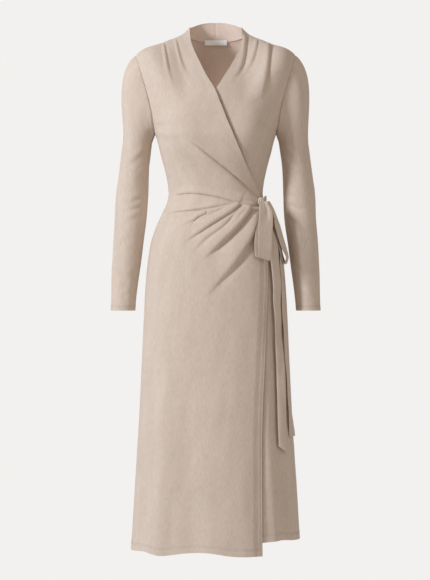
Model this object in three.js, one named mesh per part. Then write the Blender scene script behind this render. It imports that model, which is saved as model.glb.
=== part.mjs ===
// A long-sleeved jersey wrap dress, worn shape with no wearer, tied in a bow at the wearer's left waist.
// Millimetres, +Z up, the front faces -Y and the wearer's left is +X.
// The origin lies between the shoulders, where the wearer carries the dress.
import * as THREE from 'three';

// Cloth and seams
const WALL = 1.6;
const SEAM_GAP = 0.5;
const WAIST_GAP = 0.9;
const OVERLAP_LIFT = 3.4;
const TIE_WALL = 2.2;

// Levels and places on the worn form
const RIDGE_Y = 6;
const ARMPIT_Z = -211;
const NECK_X = 78;
const NECK_Z = 27.5;
const NECK_BACK_Y = 62;
const NECK_BACK_Z = 17;
const COLLAR_X = 62;
const COLLAR_Z = 43.5;
const COLLAR_BACK_Y = 61;
const COLLAR_BACK_Z = 64;
const COLLAR_CURVE = 2.7;
const ROUNDNESS = 2.2;
const PIT_X = 145;

// How the form rounds over under the shoulder: height over which it comes out to its full depth, and
// how full the curve is, near the neck in front and behind and out at the shoulder
const CURL = {
  front: { reach: 190, power: 1.3 },
  back: { reach: 110, power: 1.6 },
  shoulder: { reach: 62, power: 2 },
  neckX: 60,
  blend: 110,
};

// How the sleeve leaves the armhole: lean in degrees at the shoulder and at the armpit, and how firmly
// it holds to its way at the seam and further down
const CAP = { leanTop: 52, leanPit: 6, leave: 0.95, arrive: 0.9, flare: 0.09 };
const CAP_STEPS = [0.1, 0.24, 0.42, 0.62, 0.82];

// Turns a short table into rows with named columns
const named = (names, row) => Object.fromEntries(names.map((name, i) => [name, row[i]]));
const table = (names, rows) => rows.map((row) => named(names, row));

const clamp = (x, lo = 0, hi = 1) => Math.min(hi, Math.max(lo, x));
const mix = (a, b, t) => a + (b - a) * t;
const ease = (t) => clamp(t) ** 2 * (3 - 2 * clamp(t));
const bell = (x) => Math.exp(-x * x);
const signedPower = (x, p) => Math.sign(x) * Math.abs(x) ** p;

// Smooth value of one column at a place along another, through the rows of a table
function follow(rows, key, column) {
  const at = rows.map((row) => row[key]);
  const value = rows.map((row) => row[column]);
  const last = rows.length - 1;
  const slope = value.map((v, i) => {
    const a = Math.max(0, i - 1);
    const b = Math.min(last, i + 1);
    return (value[b] - value[a]) / (at[b] - at[a]);
  });
  return (x) => {
    if (x <= at[0]) return value[0];
    if (x >= at[last]) return value[last];
    const i = at.findIndex((edge) => edge > x) - 1;
    const step = at[i + 1] - at[i];
    const t = (x - at[i]) / step;
    const rise = value[i + 1] - value[i];
    const bend = t * (1 - t) * ((1 - t) * (slope[i] * step - rise) - t * (slope[i + 1] * step - rise));
    return mix(value[i], value[i + 1], t) + bend;
  };
}

// Sections of the form: drop below the origin, half width, and depth of front and back
const FORM = table(['drop', 'half', 'front', 'back'], [
  [-60, 201, 92, 82],
  [0, 200, 96, 86],
  [24, 199, 98, 89],
  [70, 194, 101, 93],
  [113, 184, 104, 96],
  [150, 172, 109, 97],
  [180, 160, 114, 96],
  [204, 149, 117, 95],
  [228, 138.5, 119, 92],
  [266, 129, 112, 87],
  [305, 119.5, 99, 83],
  [343, 113, 90, 80],
  [362, 112.5, 87, 80],
  [382, 117, 89, 84],
  [401, 126, 93, 90],
  [439, 143, 99, 99],
  [478, 155.5, 103, 106],
  [554, 165.5, 108, 114],
  [689, 173, 114, 119],
  [890, 183, 125, 128],
  [1121, 197, 137, 139],
  [1202, 202, 141, 143],
]);
const halfAt = follow(FORM, 'drop', 'half');
const frontAt = follow(FORM, 'drop', 'front');
const backAt = follow(FORM, 'drop', 'back');

// Top of the shoulder, from the side of the neck out to the sleeve
const RIDGE = table(['x', 'z'], [
  [62, 43.5], [66, 38.5], [71, 33.6], [78, 27.5], [95, 19], [113, 12],
  [129, 5], [152, -2.4], [171, -9.6], [183, -17], [191, -24],
]);
const ridgeAt = follow(RIDGE, 'x', 'z');

// Armhole seam, by drop
const ARMHOLE = table(['drop', 'x'], [
  [24, 191], [50, 184], [77, 175.5], [119, 163.5], [160, 153.5], [185, 149], [204, 146], [211, 145.3],
]);
const armholeAt = follow(ARMHOLE, 'drop', 'x');

// Front edge of the overlap, from the collar down over the bust and waist to the hem
const OVERLAP_EDGE = table(['drop', 'x'], [
  [-43.5, -62], [-25, -61.5], [0, -57.5], [27, -48], [56, -35], [91, -19], [124, -1], [216, 35],
  [323, 82], [359, 97.5], [378, 99], [394, 100.5], [412, 107], [430, 112], [517, 120], [644, 118],
  [778, 112], [912, 107], [1206, 107],
]);
const overlapEdgeAt = follow(OVERLAP_EDGE, 'drop', 'x');

// Neck edge of the underlap, which runs on down under the overlap
const UNDERLAP_EDGE = table(['drop', 'x'], [
  [-43.5, 62], [-9, 63], [15, 56.5], [56, 37.5], [99, 12.5], [122, -1], [216, -36], [323, -76], [400, -92],
]);
const underlapEdgeAt = follow(UNDERLAP_EDGE, 'drop', 'x');
const UNDERLAP_SKIRT_X = -92;

// Waist seam and hems, by place across
const WAIST = table(['x', 'z'], [
  [-126, -408], [-112, -406], [-70, -404], [-20, -400], [13, -394],
  [54, -387], [79, -394], [101, -395], [122, -397],
]);
const waistAt = follow(WAIST, 'x', 'z');
const BACK_WAIST = table(['x', 'z'], [[-126, -408], [0, -396], [122, -397]]);
const backWaistAt = follow(BACK_WAIST, 'x', 'z');
const OVERLAP_HEM = table(['x', 'z'], [
  [-203, -1205], [-165, -1199], [-120, -1203], [-70, -1196], [-20, -1194], [40, -1202], [108, -1204],
]);
const overlapHemAt = follow(OVERLAP_HEM, 'x', 'z');
const UNDERLAP_HEM = table(['x', 'z'], [[-100, -1176], [106, -1174], [160, -1173], [203, -1181]]);
const underlapHemAt = follow(UNDERLAP_HEM, 'x', 'z');
const BACK_HEM = table(['x', 'z'], [[-203, -1205], [-80, -1198], [60, -1194], [203, -1181]]);
const backHemAt = follow(BACK_HEM, 'x', 'z');

// Folds of the fronts, each along a line of four points seen from the front.
// A trough of the given width and depth runs along the line, with a soft ridge beside it. side is 1 where
// the ridge is left of the way the line runs, and -1 where it is right of it.
// rise and fall are the shares of the length over which the fold starts and ends.
const FOLD_COLUMNS = ['x0', 'z0', 'x1', 'z1', 'x2', 'z2', 'x3', 'z3', 'width', 'depth', 'rise', 'fall', 'side'];
const FOLDS = table(FOLD_COLUMNS, [
  [-66, -232, -26, -267, 22, -309, 80, -356, 9, 3.2, 0.45, 0.25, -1],
  [-94, -363, -61, -360, -20, -367, 44, -381, 7, 3.2, 0.3, 0.25, 1],
  [-108, -409, -70, -407, -20, -403, 54, -390, 8, 2.4, 0.3, 0.15, 1],
  [-120, -426, -90, -421, -60, -419, -20, -412, 8, 2.0, 0.4, 0.4, 1],
  [-18, -413, -40, -421, -62, -432, -84, -442, 7, 3.4, 0.15, 0.5, -1],
  [57, -392, 22, -417, -28, -449, -76, -480, 8, 5.2, 0.08, 0.45, -1],
  [33, -429, 8, -446, -17, -466, -52, -505, 8, 3.0, 0.3, 0.5, -1],
  [80, -399, 58, -425, 18, -474, -20, -517, 9, 5.2, 0.08, 0.45, -1],
  [102, -403, 90, -448, 42, -530, -6, -596, 11, 5.4, 0.1, 0.5, -1],
]);

// Pleats sewn into the shoulder seams, which open out over the bust
const PLEATS = table(FOLD_COLUMNS, [
  [-129, 4, -121, -46, -111, -90, -99, -120, 6, 2.6, 0.16, 0.5, -1],
  [-95, 18, -87, -47, -78, -82, -62, -114, 6, 2.4, 0.16, 0.5, -1],
  [129, 4, 124, -54, 117, -102, 113, -136, 6, 3.6, 0.16, 0.5, -1],
  [99, 16, 82, -55, 66, -98, 54, -124, 6, 2.2, 0.16, 0.5, -1],
  [70, 30, 64, -40, 52, -90, 40, -114, 6, 1.8, 0.3, 0.5, -1],
]);

// Broad soft folds that fall from the hips to the hem: place across at the hem and at the top, as turns
const FALLS = table(['side', 'turn', 'top', 'width', 'height'], [
  [-1, -62, -480, 9, 5],
  [-1, -38, -560, 8, 4],
  [-1, -14, -640, 10, 4.5],
  [-1, 10, -600, 8, 3],
  [-1, 58, -520, 8, 5],
  [1, -60, -520, 9, 5],
  [1, -30, -600, 9, 5.5],
  [1, 0, -560, 8, 4.5],
  [1, 27, -620, 9, 5.5],
  [1, 61, -520, 9, 5],
]);

// Four points of a fold as a smooth line, cut into short steps
function foldLine(fold) {
  const points = [0, 1, 2, 3].map((i) => new THREE.Vector2(fold['x' + i], fold['z' + i]));
  return new THREE.SplineCurve(points).getPoints(24);
}

// How far a fold moves the cloth outwards at a place seen from the front
function foldHeight(fold, line, x, z) {
  let best = { away: Infinity, along: 0, side: 1 };
  for (let i = 0; i + 1 < line.length; i++) {
    const stepX = line[i + 1].x - line[i].x;
    const stepZ = line[i + 1].y - line[i].y;
    const t = clamp(((x - line[i].x) * stepX + (z - line[i].y) * stepZ) / (stepX ** 2 + stepZ ** 2));
    const offX = x - line[i].x - stepX * t;
    const offZ = z - line[i].y - stepZ * t;
    const away = Math.hypot(offX, offZ);
    if (away < best.away) {
      best = { away, along: (i + t) / (line.length - 1), side: Math.sign(stepX * offZ - stepZ * offX) };
    }
  }
  const strength = ease(best.along / fold.rise) * ease((1 - best.along) / fold.fall);
  const across = (best.away * best.side * fold.side) / fold.width;
  return fold.depth * strength * (0.8 * bell((across - 1.7) / 1.3) - bell(across));
}

const withLines = (folds) => folds.map((fold) => ({ ...fold, line: foldLine(fold) }));
const foldLines = withLines(FOLDS);
const pleatLines = withLines(PLEATS);
const sumOf = (folds, x, z) => folds.reduce((sum, fold) => sum + foldHeight(fold, fold.line, x, z), 0);

// Height of the broad folds at one turn and level
function fallHeight(side, turn, z) {
  const degrees = THREE.MathUtils.radToDeg(turn);
  return FALLS.filter((fall) => fall.side === side).reduce((sum, fall) => {
    const down = ease((fall.top - z) / (fall.top + 1200));
    return sum + fall.height * down * bell((degrees - fall.turn) / fall.width);
  }, 0);
}

// The form's outline seen from the front, and the turn at which a place on it lies
const sideAt = (z) => (z > ARMPIT_Z ? armholeAt(-z) : halfAt(-z));
const turnOf = (x, z) => Math.asin(clamp(signedPower(x / halfAt(-z), ROUNDNESS / 2), -1, 1));
const acrossAt = (turn, z) => halfAt(-z) * signedPower(Math.sin(turn), 2 / ROUNDNESS);

// Where the form starts under the shoulder seam and round the back of the neck
function topY(side, x) {
  const inside = clamp(1 - (Math.abs(x) / NECK_X) ** ROUNDNESS);
  return side < 0 ? RIDGE_Y : RIDGE_Y + (NECK_BACK_Y - RIDGE_Y) * inside ** (1 / ROUNDNESS);
}

function topZ(side, x) {
  const away = Math.abs(x);
  if (side > 0 && away < NECK_X) return mix(NECK_BACK_Z, NECK_Z, (away / NECK_X) ** 2);
  return ridgeAt(away);
}

// A point of the form: side is -1 in front and 1 behind
function formPoint(side, x, z) {
  const turn = turnOf(x, z);
  const depth = side < 0 ? frontAt(-z) : backAt(-z);
  const full = side * (depth * Math.cos(turn) ** (2 / ROUNDNESS) + SEAM_GAP / 2);
  const inner = side < 0 ? CURL.front : CURL.back;
  const outwards = ease((Math.abs(x) - CURL.neckX) / CURL.blend);
  const reach = mix(inner.reach, CURL.shoulder.reach, outwards);
  const power = mix(inner.power, CURL.shoulder.power, outwards);
  const sunk = clamp((topZ(side, x) - z) / reach);
  const out = (1 - (1 - sunk) ** power) ** (1 / power);
  const start = topY(side, x) + (side * SEAM_GAP) / 2;
  return new THREE.Vector3(x, mix(start, full, out), z);
}

// Levels of the rows: shares of the way down to the armpit, then to the waist, and down the skirt
const ARMHOLE_ROWS = [0, 0.02, 0.06, 0.12, 0.21, 0.31, 0.42, 0.53, 0.64, 0.75, 0.85, 0.94, 1];
const BUST_ROWS = [0.07, 0.15, 0.27, 0.4, 0.53, 0.64, 0.74, 0.82, 0.88, 0.94, 1];
const BACK_ROWS = [0.07, 0.15, 0.3, 0.45, 0.6, 0.75, 0.88, 1];
const HIP_ROWS = [0, 0.008, 0.018, 0.029, 0.04, 0.052, 0.065, 0.08, 0.097, 0.117, 0.14, 0.167, 0.2, 0.24];
const FALL_ROWS = [0.3, 0.38, 0.47, 0.57, 0.67, 0.77, 0.86, 0.94, 1];
const CALM_ROWS = [0, 0.03, 0.07, 0.12, 0.18, 0.26, 0.35, 0.45, 0.56, 0.67, 0.78, 0.89, 1];

const FRONT_COLUMNS = 28;
const UNDER_COLUMNS = 16;
const BACK_COLUMNS = 20;

// Place where a row meets an edge that is known by its drop
function meet(edge, levelAt, start) {
  let x = start;
  for (let i = 0; i < 40; i++) x = mix(x, edge(levelAt(x)), 0.5);
  return x;
}

// A bodice piece as rows of points, from the shoulder seam to the waist seam
function bodice({ side, left, right, pit, bottom, columns, lowRows, lift }) {
  const share = (topZ(side, pit) - ARMPIT_Z) / (topZ(side, pit) - bottom(pit));
  const shares = [...ARMHOLE_ROWS.map((row) => row * share), ...lowRows.map((row) => mix(share, 1, row))];
  return shares.map((down) => {
    const levelAt = (x) => mix(topZ(side, x), bottom(x) + WAIST_GAP / 2, down);
    const from = meet(left.edge, levelAt, left.start);
    const to = meet(right.edge, levelAt, right.start);
    const turnFrom = turnOf(from, levelAt(from));
    const turnTo = turnOf(to, levelAt(to));
    return Array.from({ length: columns + 1 }, (_, i) => {
      const guess = acrossAt(mix(turnFrom, turnTo, i / columns), levelAt(mix(from, to, i / columns)));
      const x = i === 0 ? from : i === columns ? to : guess;
      const z = levelAt(x);
      return { point: formPoint(side, x, z), lift: lift({ x, z, from, turn: turnOf(x, z) }) };
    });
  });
}

// A skirt piece as rows of points, from the waist seam to the hem
function skirt({ side, left, right, top, hem, columns, rows, lift }) {
  return rows.map((down) => {
    const levelAt = (x) => mix(top(x) - WAIST_GAP / 2, hem(x), down);
    const from = meet(left, levelAt, left(-400));
    const to = meet(right, levelAt, right(-400));
    const turnFrom = turnOf(from, levelAt(from));
    const turnTo = turnOf(to, levelAt(to));
    return Array.from({ length: columns + 1 }, (_, i) => {
      const guess = acrossAt(mix(turnFrom, turnTo, i / columns), levelAt(mix(from, to, i / columns)));
      const x = i === 0 ? from : i === columns ? to : guess;
      const z = levelAt(x);
      return { point: formPoint(side, x, z), lift: lift({ x, z, from, turn: turnOf(x, z) }) };
    });
  });
}

// Slope of a line of points at one of them, true to the second order at its ends too
function slopeAt(points, i, closed) {
  const count = points.length;
  const term = (k, share) => points[(k + count) % count].clone().multiplyScalar(share);
  if (closed || (i > 0 && i < count - 1)) return term(i + 1, 0.5).add(term(i - 1, -0.5));
  const inwards = i === 0 ? 1 : -1;
  return term(i, -1.5).add(term(i + inwards, 2)).add(term(i + 2 * inwards, -0.5)).multiplyScalar(inwards);
}

// Direction square to a grid of points at each of its points
function normalsOf(grid, closed) {
  const columns = grid[0].map((_, i) => grid.map((row) => row[i]));
  return grid.map((row, j) => row.map((_, i) => (
    slopeAt(row, i, closed).cross(slopeAt(columns[i], j, false)).normalize()
  )));
}

// Moves each point of a grid outwards by its lift; side is -1 in front and 1 behind
function lifted(rows, side) {
  const grid = rows.map((row) => row.map((cell) => cell.point));
  const normals = normalsOf(grid, false);
  return rows.map((row, j) => row.map((cell, i) => (
    cell.point.clone().addScaledVector(normals[j][i], cell.lift * side)
  )));
}

// A wall of cloth about a grid of points, closed round its edges
function wall(grid, thickness, closed = false) {
  const normals = normalsOf(grid, closed);
  const rows = grid.length;
  const columns = grid[0].length;
  const positions = [];
  for (const half of [thickness / 2, -thickness / 2]) {
    grid.forEach((row, j) => row.forEach((point, i) => {
      positions.push(...point.clone().addScaledVector(normals[j][i], half).toArray());
    }));
  }
  const faces = [];
  const quad = (a, b, c, d) => faces.push(a, b, c, a, c, d);
  const top = (j, i) => j * columns + (i % columns);
  const under = (j, i) => rows * columns + top(j, i);
  const spans = closed ? columns : columns - 1;
  for (let j = 0; j + 1 < rows; j++) {
    for (let i = 0; i < spans; i++) {
      quad(top(j, i), top(j, i + 1), top(j + 1, i + 1), top(j + 1, i));
      quad(under(j, i), under(j + 1, i), under(j + 1, i + 1), under(j, i + 1));
    }
    if (!closed) {
      quad(top(j, 0), top(j + 1, 0), under(j + 1, 0), under(j, 0));
      quad(top(j + 1, spans), top(j, spans), under(j, spans), under(j + 1, spans));
    }
  }
  for (let i = 0; i < spans; i++) {
    quad(top(0, i + 1), top(0, i), under(0, i), under(0, i + 1));
    quad(top(rows - 1, i), top(rows - 1, i + 1), under(rows - 1, i + 1), under(rows - 1, i));
  }
  return solidGeometry(positions, faces);
}

// Geometry with its faces pointing out, whichever way they were wound
function solidGeometry(positions, faces) {
  const corner = (k) => new THREE.Vector3().fromArray(positions, 3 * faces[k]);
  let volume = 0;
  for (let k = 0; k < faces.length; k += 3) volume += corner(k).dot(corner(k + 1).cross(corner(k + 2)));
  if (volume < 0) faces.reverse();
  const geometry = new THREE.BufferGeometry();
  geometry.setAttribute('position', new THREE.Float32BufferAttribute(positions, 3));
  geometry.setIndex(faces);
  geometry.computeVertexNormals();
  return geometry;
}

const jersey = new THREE.MeshStandardMaterial({ color: 0xc9b7a6, roughness: 0.9, metalness: 0 });
const tape = new THREE.MeshStandardMaterial({ color: 0xf2f0ec, roughness: 0.7, metalness: 0 });

const dress = new THREE.Group();

function add(name, geometry, material = jersey) {
  const mesh = new THREE.Mesh(geometry, material);
  mesh.name = name;
  dress.add(mesh);
}

// Gathers near the knot stand out most, so that their troughs stay clear of the cloth below
const gathered = (x, z) => 3.2 * bell(Math.hypot((x - 30) / 75, (z + 412) / 62));

// Outward lift of the overlap over the underlap, with its folds
function overlapLift({ x, z, from, turn }) {
  const layer = ease((x - from) / 12) * ease((-60 - z) / 50);
  const folds = gathered(x, z) + sumOf(foldLines, x, z);
  const fall = fallHeight(-1, turn, z) * ease((x - from) / 25);
  return layer * (OVERLAP_LIFT + Math.max(0, folds)) + sumOf(pleatLines, x, z) + fall;
}

// The underlap lies plain under the overlap, and has its pleats and folds where it shows
function underlapLift({ x, z, turn }) {
  const seen = 1 - ease((overlapEdgeAt(-z) + 14 - x) / 12);
  const fall = fallHeight(-1, turn, z) * ease((halfAt(-z) - x) / 12);
  return seen * (z > ARMPIT_Z ? sumOf(pleatLines, x, z) : fall);
}

const leftSide = { start: -180, edge: (z) => -sideAt(z) };
const rightSide = { start: 180, edge: (z) => sideAt(z) };

const overlapBodice = bodice({
  side: -1,
  left: leftSide,
  right: { start: -60, edge: (z) => overlapEdgeAt(-z) },
  pit: -PIT_X,
  bottom: waistAt,
  columns: FRONT_COLUMNS,
  lowRows: BUST_ROWS,
  lift: overlapLift,
});
add('overlap_bodice', wall(lifted(overlapBodice, -1), WALL));

const overlapSkirt = skirt({
  side: -1,
  left: (z) => -halfAt(-z),
  right: (z) => overlapEdgeAt(-z),
  top: waistAt,
  hem: overlapHemAt,
  columns: FRONT_COLUMNS,
  rows: [...HIP_ROWS, ...FALL_ROWS],
  lift: overlapLift,
});
add('overlap_skirt', wall(lifted(overlapSkirt, -1), WALL));

const underlapBodice = bodice({
  side: -1,
  left: { start: 60, edge: (z) => underlapEdgeAt(-z) },
  right: rightSide,
  pit: PIT_X,
  bottom: waistAt,
  columns: UNDER_COLUMNS,
  lowRows: BACK_ROWS,
  lift: underlapLift,
});
add('underlap_bodice', wall(lifted(underlapBodice, -1), WALL));

const underlapSkirt = skirt({
  side: -1,
  left: () => UNDERLAP_SKIRT_X,
  right: (z) => halfAt(-z),
  top: waistAt,
  hem: underlapHemAt,
  columns: UNDER_COLUMNS,
  rows: CALM_ROWS,
  lift: underlapLift,
});
add('underlap_skirt', wall(lifted(underlapSkirt, -1), WALL));

const backBodice = bodice({
  side: 1,
  left: leftSide,
  right: rightSide,
  pit: -PIT_X,
  bottom: backWaistAt,
  columns: BACK_COLUMNS,
  lowRows: BACK_ROWS,
  lift: () => 0,
});
add('back_bodice', wall(lifted(backBodice, 1), WALL));

const backSkirt = skirt({
  side: 1,
  left: (z) => -halfAt(-z),
  right: (z) => halfAt(-z),
  top: backWaistAt,
  hem: backHemAt,
  columns: BACK_COLUMNS,
  rows: CALM_ROWS,
  lift: ({ x, z, turn }) => fallHeight(1, turn, z) * ease((halfAt(-z) - Math.abs(x)) / 12),
});
add('back_skirt', wall(lifted(backSkirt, 1), WALL));

// Sleeve rings: drop, centre across and forwards, half width and half depth
const SLEEVE = table(['drop', 'x', 'y', 'wide', 'deep'], [
  [240, 188, 2, 34.8, 43],
  [300, 195.2, 5, 35.4, 42],
  [362, 200.6, 7, 38.2, 41],
  [420, 204, 6, 37.4, 39],
  [480, 209.6, 2, 35, 37],
  [545, 215, -5, 32.8, 34],
  [600, 219, -10, 29.8, 31],
  [637, 221.5, -13, 28.4, 29.5],
]);

// Armhole as a loop of points from the shoulder, down the front, round the armpit and up the back
function armholeLoop(front, back, column) {
  const rows = ARMHOLE_ROWS.map((_, j) => j);
  return [
    ...rows.map((j) => front[j][column(front[j])].point),
    ...rows.slice(1, -1).reverse().map((j) => back[j][column(back[j])].point),
  ];
}

// A sleeve from the armhole to the cuff; sign is -1 for the wearer's right
function sleeve(sign, loop) {
  const around = loop.length;
  const lengths = loop.map((point, k) => point.distanceTo(loop[(k + 1) % around]));
  const sum = (from, to) => lengths.slice(from, to).reduce((a, b) => a + b, 0);
  const halfway = around / 2;
  const angles = loop.map((_, k) => (k <= halfway
    ? (Math.PI * sum(0, k)) / sum(0, halfway)
    : Math.PI * (1 + sum(halfway, k) / sum(halfway, around))));
  const ring = (row) => angles.map((angle) => new THREE.Vector3(
    sign * (row.x + row.wide * Math.cos(angle)),
    row.y - row.deep * Math.sin(angle),
    -row.drop,
  ));
  const first = loop.map((point, k) => {
    const low = (1 - Math.cos(angles[k])) / 2;
    return point.clone().add(new THREE.Vector3(sign * mix(1.0, 2.8, low ** 4), 0, 0));
  });
  const target = ring(SLEEVE[0]);
  const cap = CAP_STEPS.map((t) => first.map((start, k) => {
    const low = (1 - Math.cos(angles[k])) / 2;
    const reach = start.distanceTo(target[k]);
    const lean = THREE.MathUtils.degToRad(mix(CAP.leanTop, CAP.leanPit, low));
    const leave = new THREE.Vector3(sign * Math.sin(lean), 0, -Math.cos(lean)).multiplyScalar(reach * CAP.leave);
    const arrive = new THREE.Vector3(sign * CAP.flare, 0, -1).multiplyScalar(reach * CAP.arrive);
    return new THREE.Vector3()
      .addScaledVector(start, 2 * t ** 3 - 3 * t ** 2 + 1)
      .addScaledVector(leave, t ** 3 - 2 * t ** 2 + t)
      .addScaledVector(target[k], 3 * t ** 2 - 2 * t ** 3)
      .addScaledVector(arrive, t ** 3 - t ** 2);
  }));
  return wall([first, ...cap, ...SLEEVE.map(ring)], WALL, true);
}

add('sleeve_right', sleeve(-1, armholeLoop(overlapBodice, backBodice, () => 0)));
add('sleeve_left', sleeve(1, armholeLoop(underlapBodice, backBodice, (row) => row.length - 1)));

// Half of the collar stand, from the shoulder seam to the seam at the centre back
function collar(sign) {
  const along = 10;
  const up = 3;
  const grid = Array.from({ length: up + 1 }, (_, j) => Array.from({ length: along + 1 }, (_unused, i) => {
    const angle = (Math.PI / 2) * (i / along);
    const wide = signedPower(Math.cos(angle), 2 / ROUNDNESS);
    const deep = signedPower(Math.sin(angle), 2 / ROUNDNESS);
    const low = new THREE.Vector3(NECK_X * wide, RIDGE_Y + (NECK_BACK_Y - RIDGE_Y) * deep, 0);
    low.z = mix(NECK_BACK_Z, NECK_Z, (low.x / NECK_X) ** 2) + SEAM_GAP * 3;
    const high = new THREE.Vector3(COLLAR_X * wide, RIDGE_Y + (COLLAR_BACK_Y - RIDGE_Y) * deep, 0);
    high.z = mix(COLLAR_BACK_Z, COLLAR_Z, wide ** COLLAR_CURVE);
    const point = low.lerp(high, j / up);
    point.x = sign * (point.x + SEAM_GAP / 2);
    point.y += SEAM_GAP / 2;
    return point;
  }));
  return wall(grid, WALL);
}
add('collar_right', collar(-1));
add('collar_left', collar(1));

// Bare label inside the back of the neck
const LABEL = { half: 27, top: 21.5, bottom: 9, wall: 0.8, inset: 1.85 };
const labelGrid = [LABEL.top, (LABEL.top + LABEL.bottom) / 2, LABEL.bottom].map((z) => (
  Array.from({ length: 9 }, (_, i) => {
    const x = mix(-LABEL.half, LABEL.half, i / 8);
    return new THREE.Vector3(x, topY(1, x) - LABEL.inset, z);
  })
));
add('neck_label', wall(labelGrid, LABEL.wall), tape);

// A flat ribbon along rows of centre points. lean turns its width back from facing forwards, in degrees,
// and an upright ribbon has its width along the height.
function ribbon(rows, upright = false) {
  const stepsPerRow = 3;
  const centres = rows.map((row) => new THREE.Vector3(row.x, row.y, row.z));
  const centre = new THREE.CatmullRomCurve3(centres, false, 'centripetal');
  const steps = (rows.length - 1) * stepsPerRow;
  const places = rows.map((row, i) => ({ ...row, place: i / (rows.length - 1) }));
  const leanAt = follow(places, 'place', 'lean');
  const wideAt = follow(places, 'place', 'wide');
  const grid = Array.from({ length: steps + 1 }, (_, j) => {
    const point = centre.getPoint(j / steps);
    const lean = THREE.MathUtils.degToRad(leanAt(j / steps));
    const level = new THREE.Vector3(Math.cos(lean), Math.sin(lean), 0);
    const across = upright ? new THREE.Vector3(0, 0, 1) : level;
    return [-0.5, 0, 0.5].map((share) => point.clone().addScaledVector(across, share * wideAt(j / steps)));
  });
  return wall(grid, TIE_WALL);
}

// The ties: centre places, lean and width of each
const TIE_COLUMNS = ['x', 'y', 'z', 'lean', 'wide'];
const HANGING_TIES = {
  bow_loop_front: [
    [113, -76.6, -383.5, 25, 14],
    [116, -82, -394, 25, 26],
    [117.5, -88, -408, 25, 34],
    [116.8, -97, -432, 25, 38],
    [115.4, -104, -455, 24.5, 37.5],
    [114.2, -111, -500, 24, 35],
    [112, -108, -515, 24, 34.5],
    [108, -101, -503, 24, 34.5],
    [108, -96, -470, 24, 35],
    [110.5, -83, -426, 25, 31],
    [111, -70.5, -393.5, 25, 18],
  ],
  bow_loop_back: [
    [129.2, -57, -383.5, 62, 14],
    [134, -55, -399, 68, 20],
    [141, -53, -416, 72, 24],
    [149, -52, -436, 74, 26],
    [158, -51, -467, 74, 26],
    [165, -50, -490, 74, 26],
    [169.5, -50, -512, 74, 26],
    [164, -51, -524, 74, 25],
    [159, -52, -512, 74, 24],
    [156.5, -53, -490, 74, 24],
    [150, -53.5, -458, 72, 22],
    [141, -54, -430, 70, 20],
    [133, -54.5, -408, 66, 17],
  ],
  tie_tail_long: [
    [116, -63, -394.7, 32, 16],
    [125, -67, -438, 34, 20],
    [132, -68.5, -459, 34, 22],
    [136.5, -71.5, -482, 34, 23],
    [138.8, -74.5, -521, 32, 24],
    [143.8, -75.5, -575, 34, 24],
    [144.3, -76.5, -614, 42, 24],
    [146.2, -78, -656, 46, 24],
    [148, -80, -705, 44, 24],
    [152.3, -81.5, -776, 30, 24],
    [154.3, -84.5, -842, 30, 24],
    [155, -87, -889, 34, 24],
    [158.6, -88.5, -960, 28, 24],
  ],
  tie_tail_short: [
    [118, -50.9, -393.3, 50, 14],
    [135, -42, -422, 62, 19],
    [146, -43.8, -457, 61, 22],
    [151, -48.3, -493, 59, 23],
    [152.5, -53.1, -526, 56, 24],
    [155.2, -57.6, -588, 54, 24],
    [156, -58.3, -628, 53, 24],
    [158.9, -60.3, -683, 54, 24],
    [163.5, -59.2, -740, 56, 24],
    [168.4, -57.4, -796, 57, 24],
    [172.4, -56.8, -853, 58, 24],
    [176.8, -54.6, -901, 57, 24],
    [181, -52, -934, 52, 24],
  ],
};
const UPRIGHT_TIES = {
  tie_overlap: [
    [86, -77.5, -380, 0, 20],
    [94, -73.5, -379, 0, 20],
    [101.1, -66.7, -377.5, 0, 16],
  ],
  tie_side: [
    [121.5, 3, -374, 0, 22],
    [121.5, -12, -374, 0, 22],
    [119.5, -29, -374.5, 0, 22],
    [114.2, -49.4, -375.5, 0, 16],
  ],
};
for (const [name, rows] of Object.entries(HANGING_TIES)) add(name, ribbon(table(TIE_COLUMNS, rows)));
for (const [name, rows] of Object.entries(UPRIGHT_TIES)) add(name, ribbon(table(TIE_COLUMNS, rows), true));

// The knot: a firm wrap of cloth with a groove where the band crosses it
const KNOT = { x: 113, y: -62.5, z: -378.5, wide: 12, deep: 12, tall: 16 };
const knotGeometry = new THREE.SphereGeometry(1, 16, 12);
const knotPlace = knotGeometry.getAttribute('position');
for (let i = 0; i < knotPlace.count; i++) {
  const spot = new THREE.Vector3().fromBufferAttribute(knotPlace, i);
  const groove = 1 - 0.1 * bell((spot.y - 0.35 * spot.x) / 0.22);
  knotPlace.setXYZ(i, spot.x * KNOT.wide * groove, spot.y * KNOT.tall, spot.z * KNOT.deep * groove);
}
knotGeometry.rotateX(Math.PI / 2);
knotGeometry.translate(KNOT.x, KNOT.y, KNOT.z);
add('tie_knot', knotGeometry);

export default dress;
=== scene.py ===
# Looks of a long-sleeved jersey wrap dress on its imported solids.
# Lengths are millimetres until a mesh is made, and metres for welds, lamps, floor and camera.
# +Z is up, the front faces -Y and the wearer's left is +X.
import math

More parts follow.
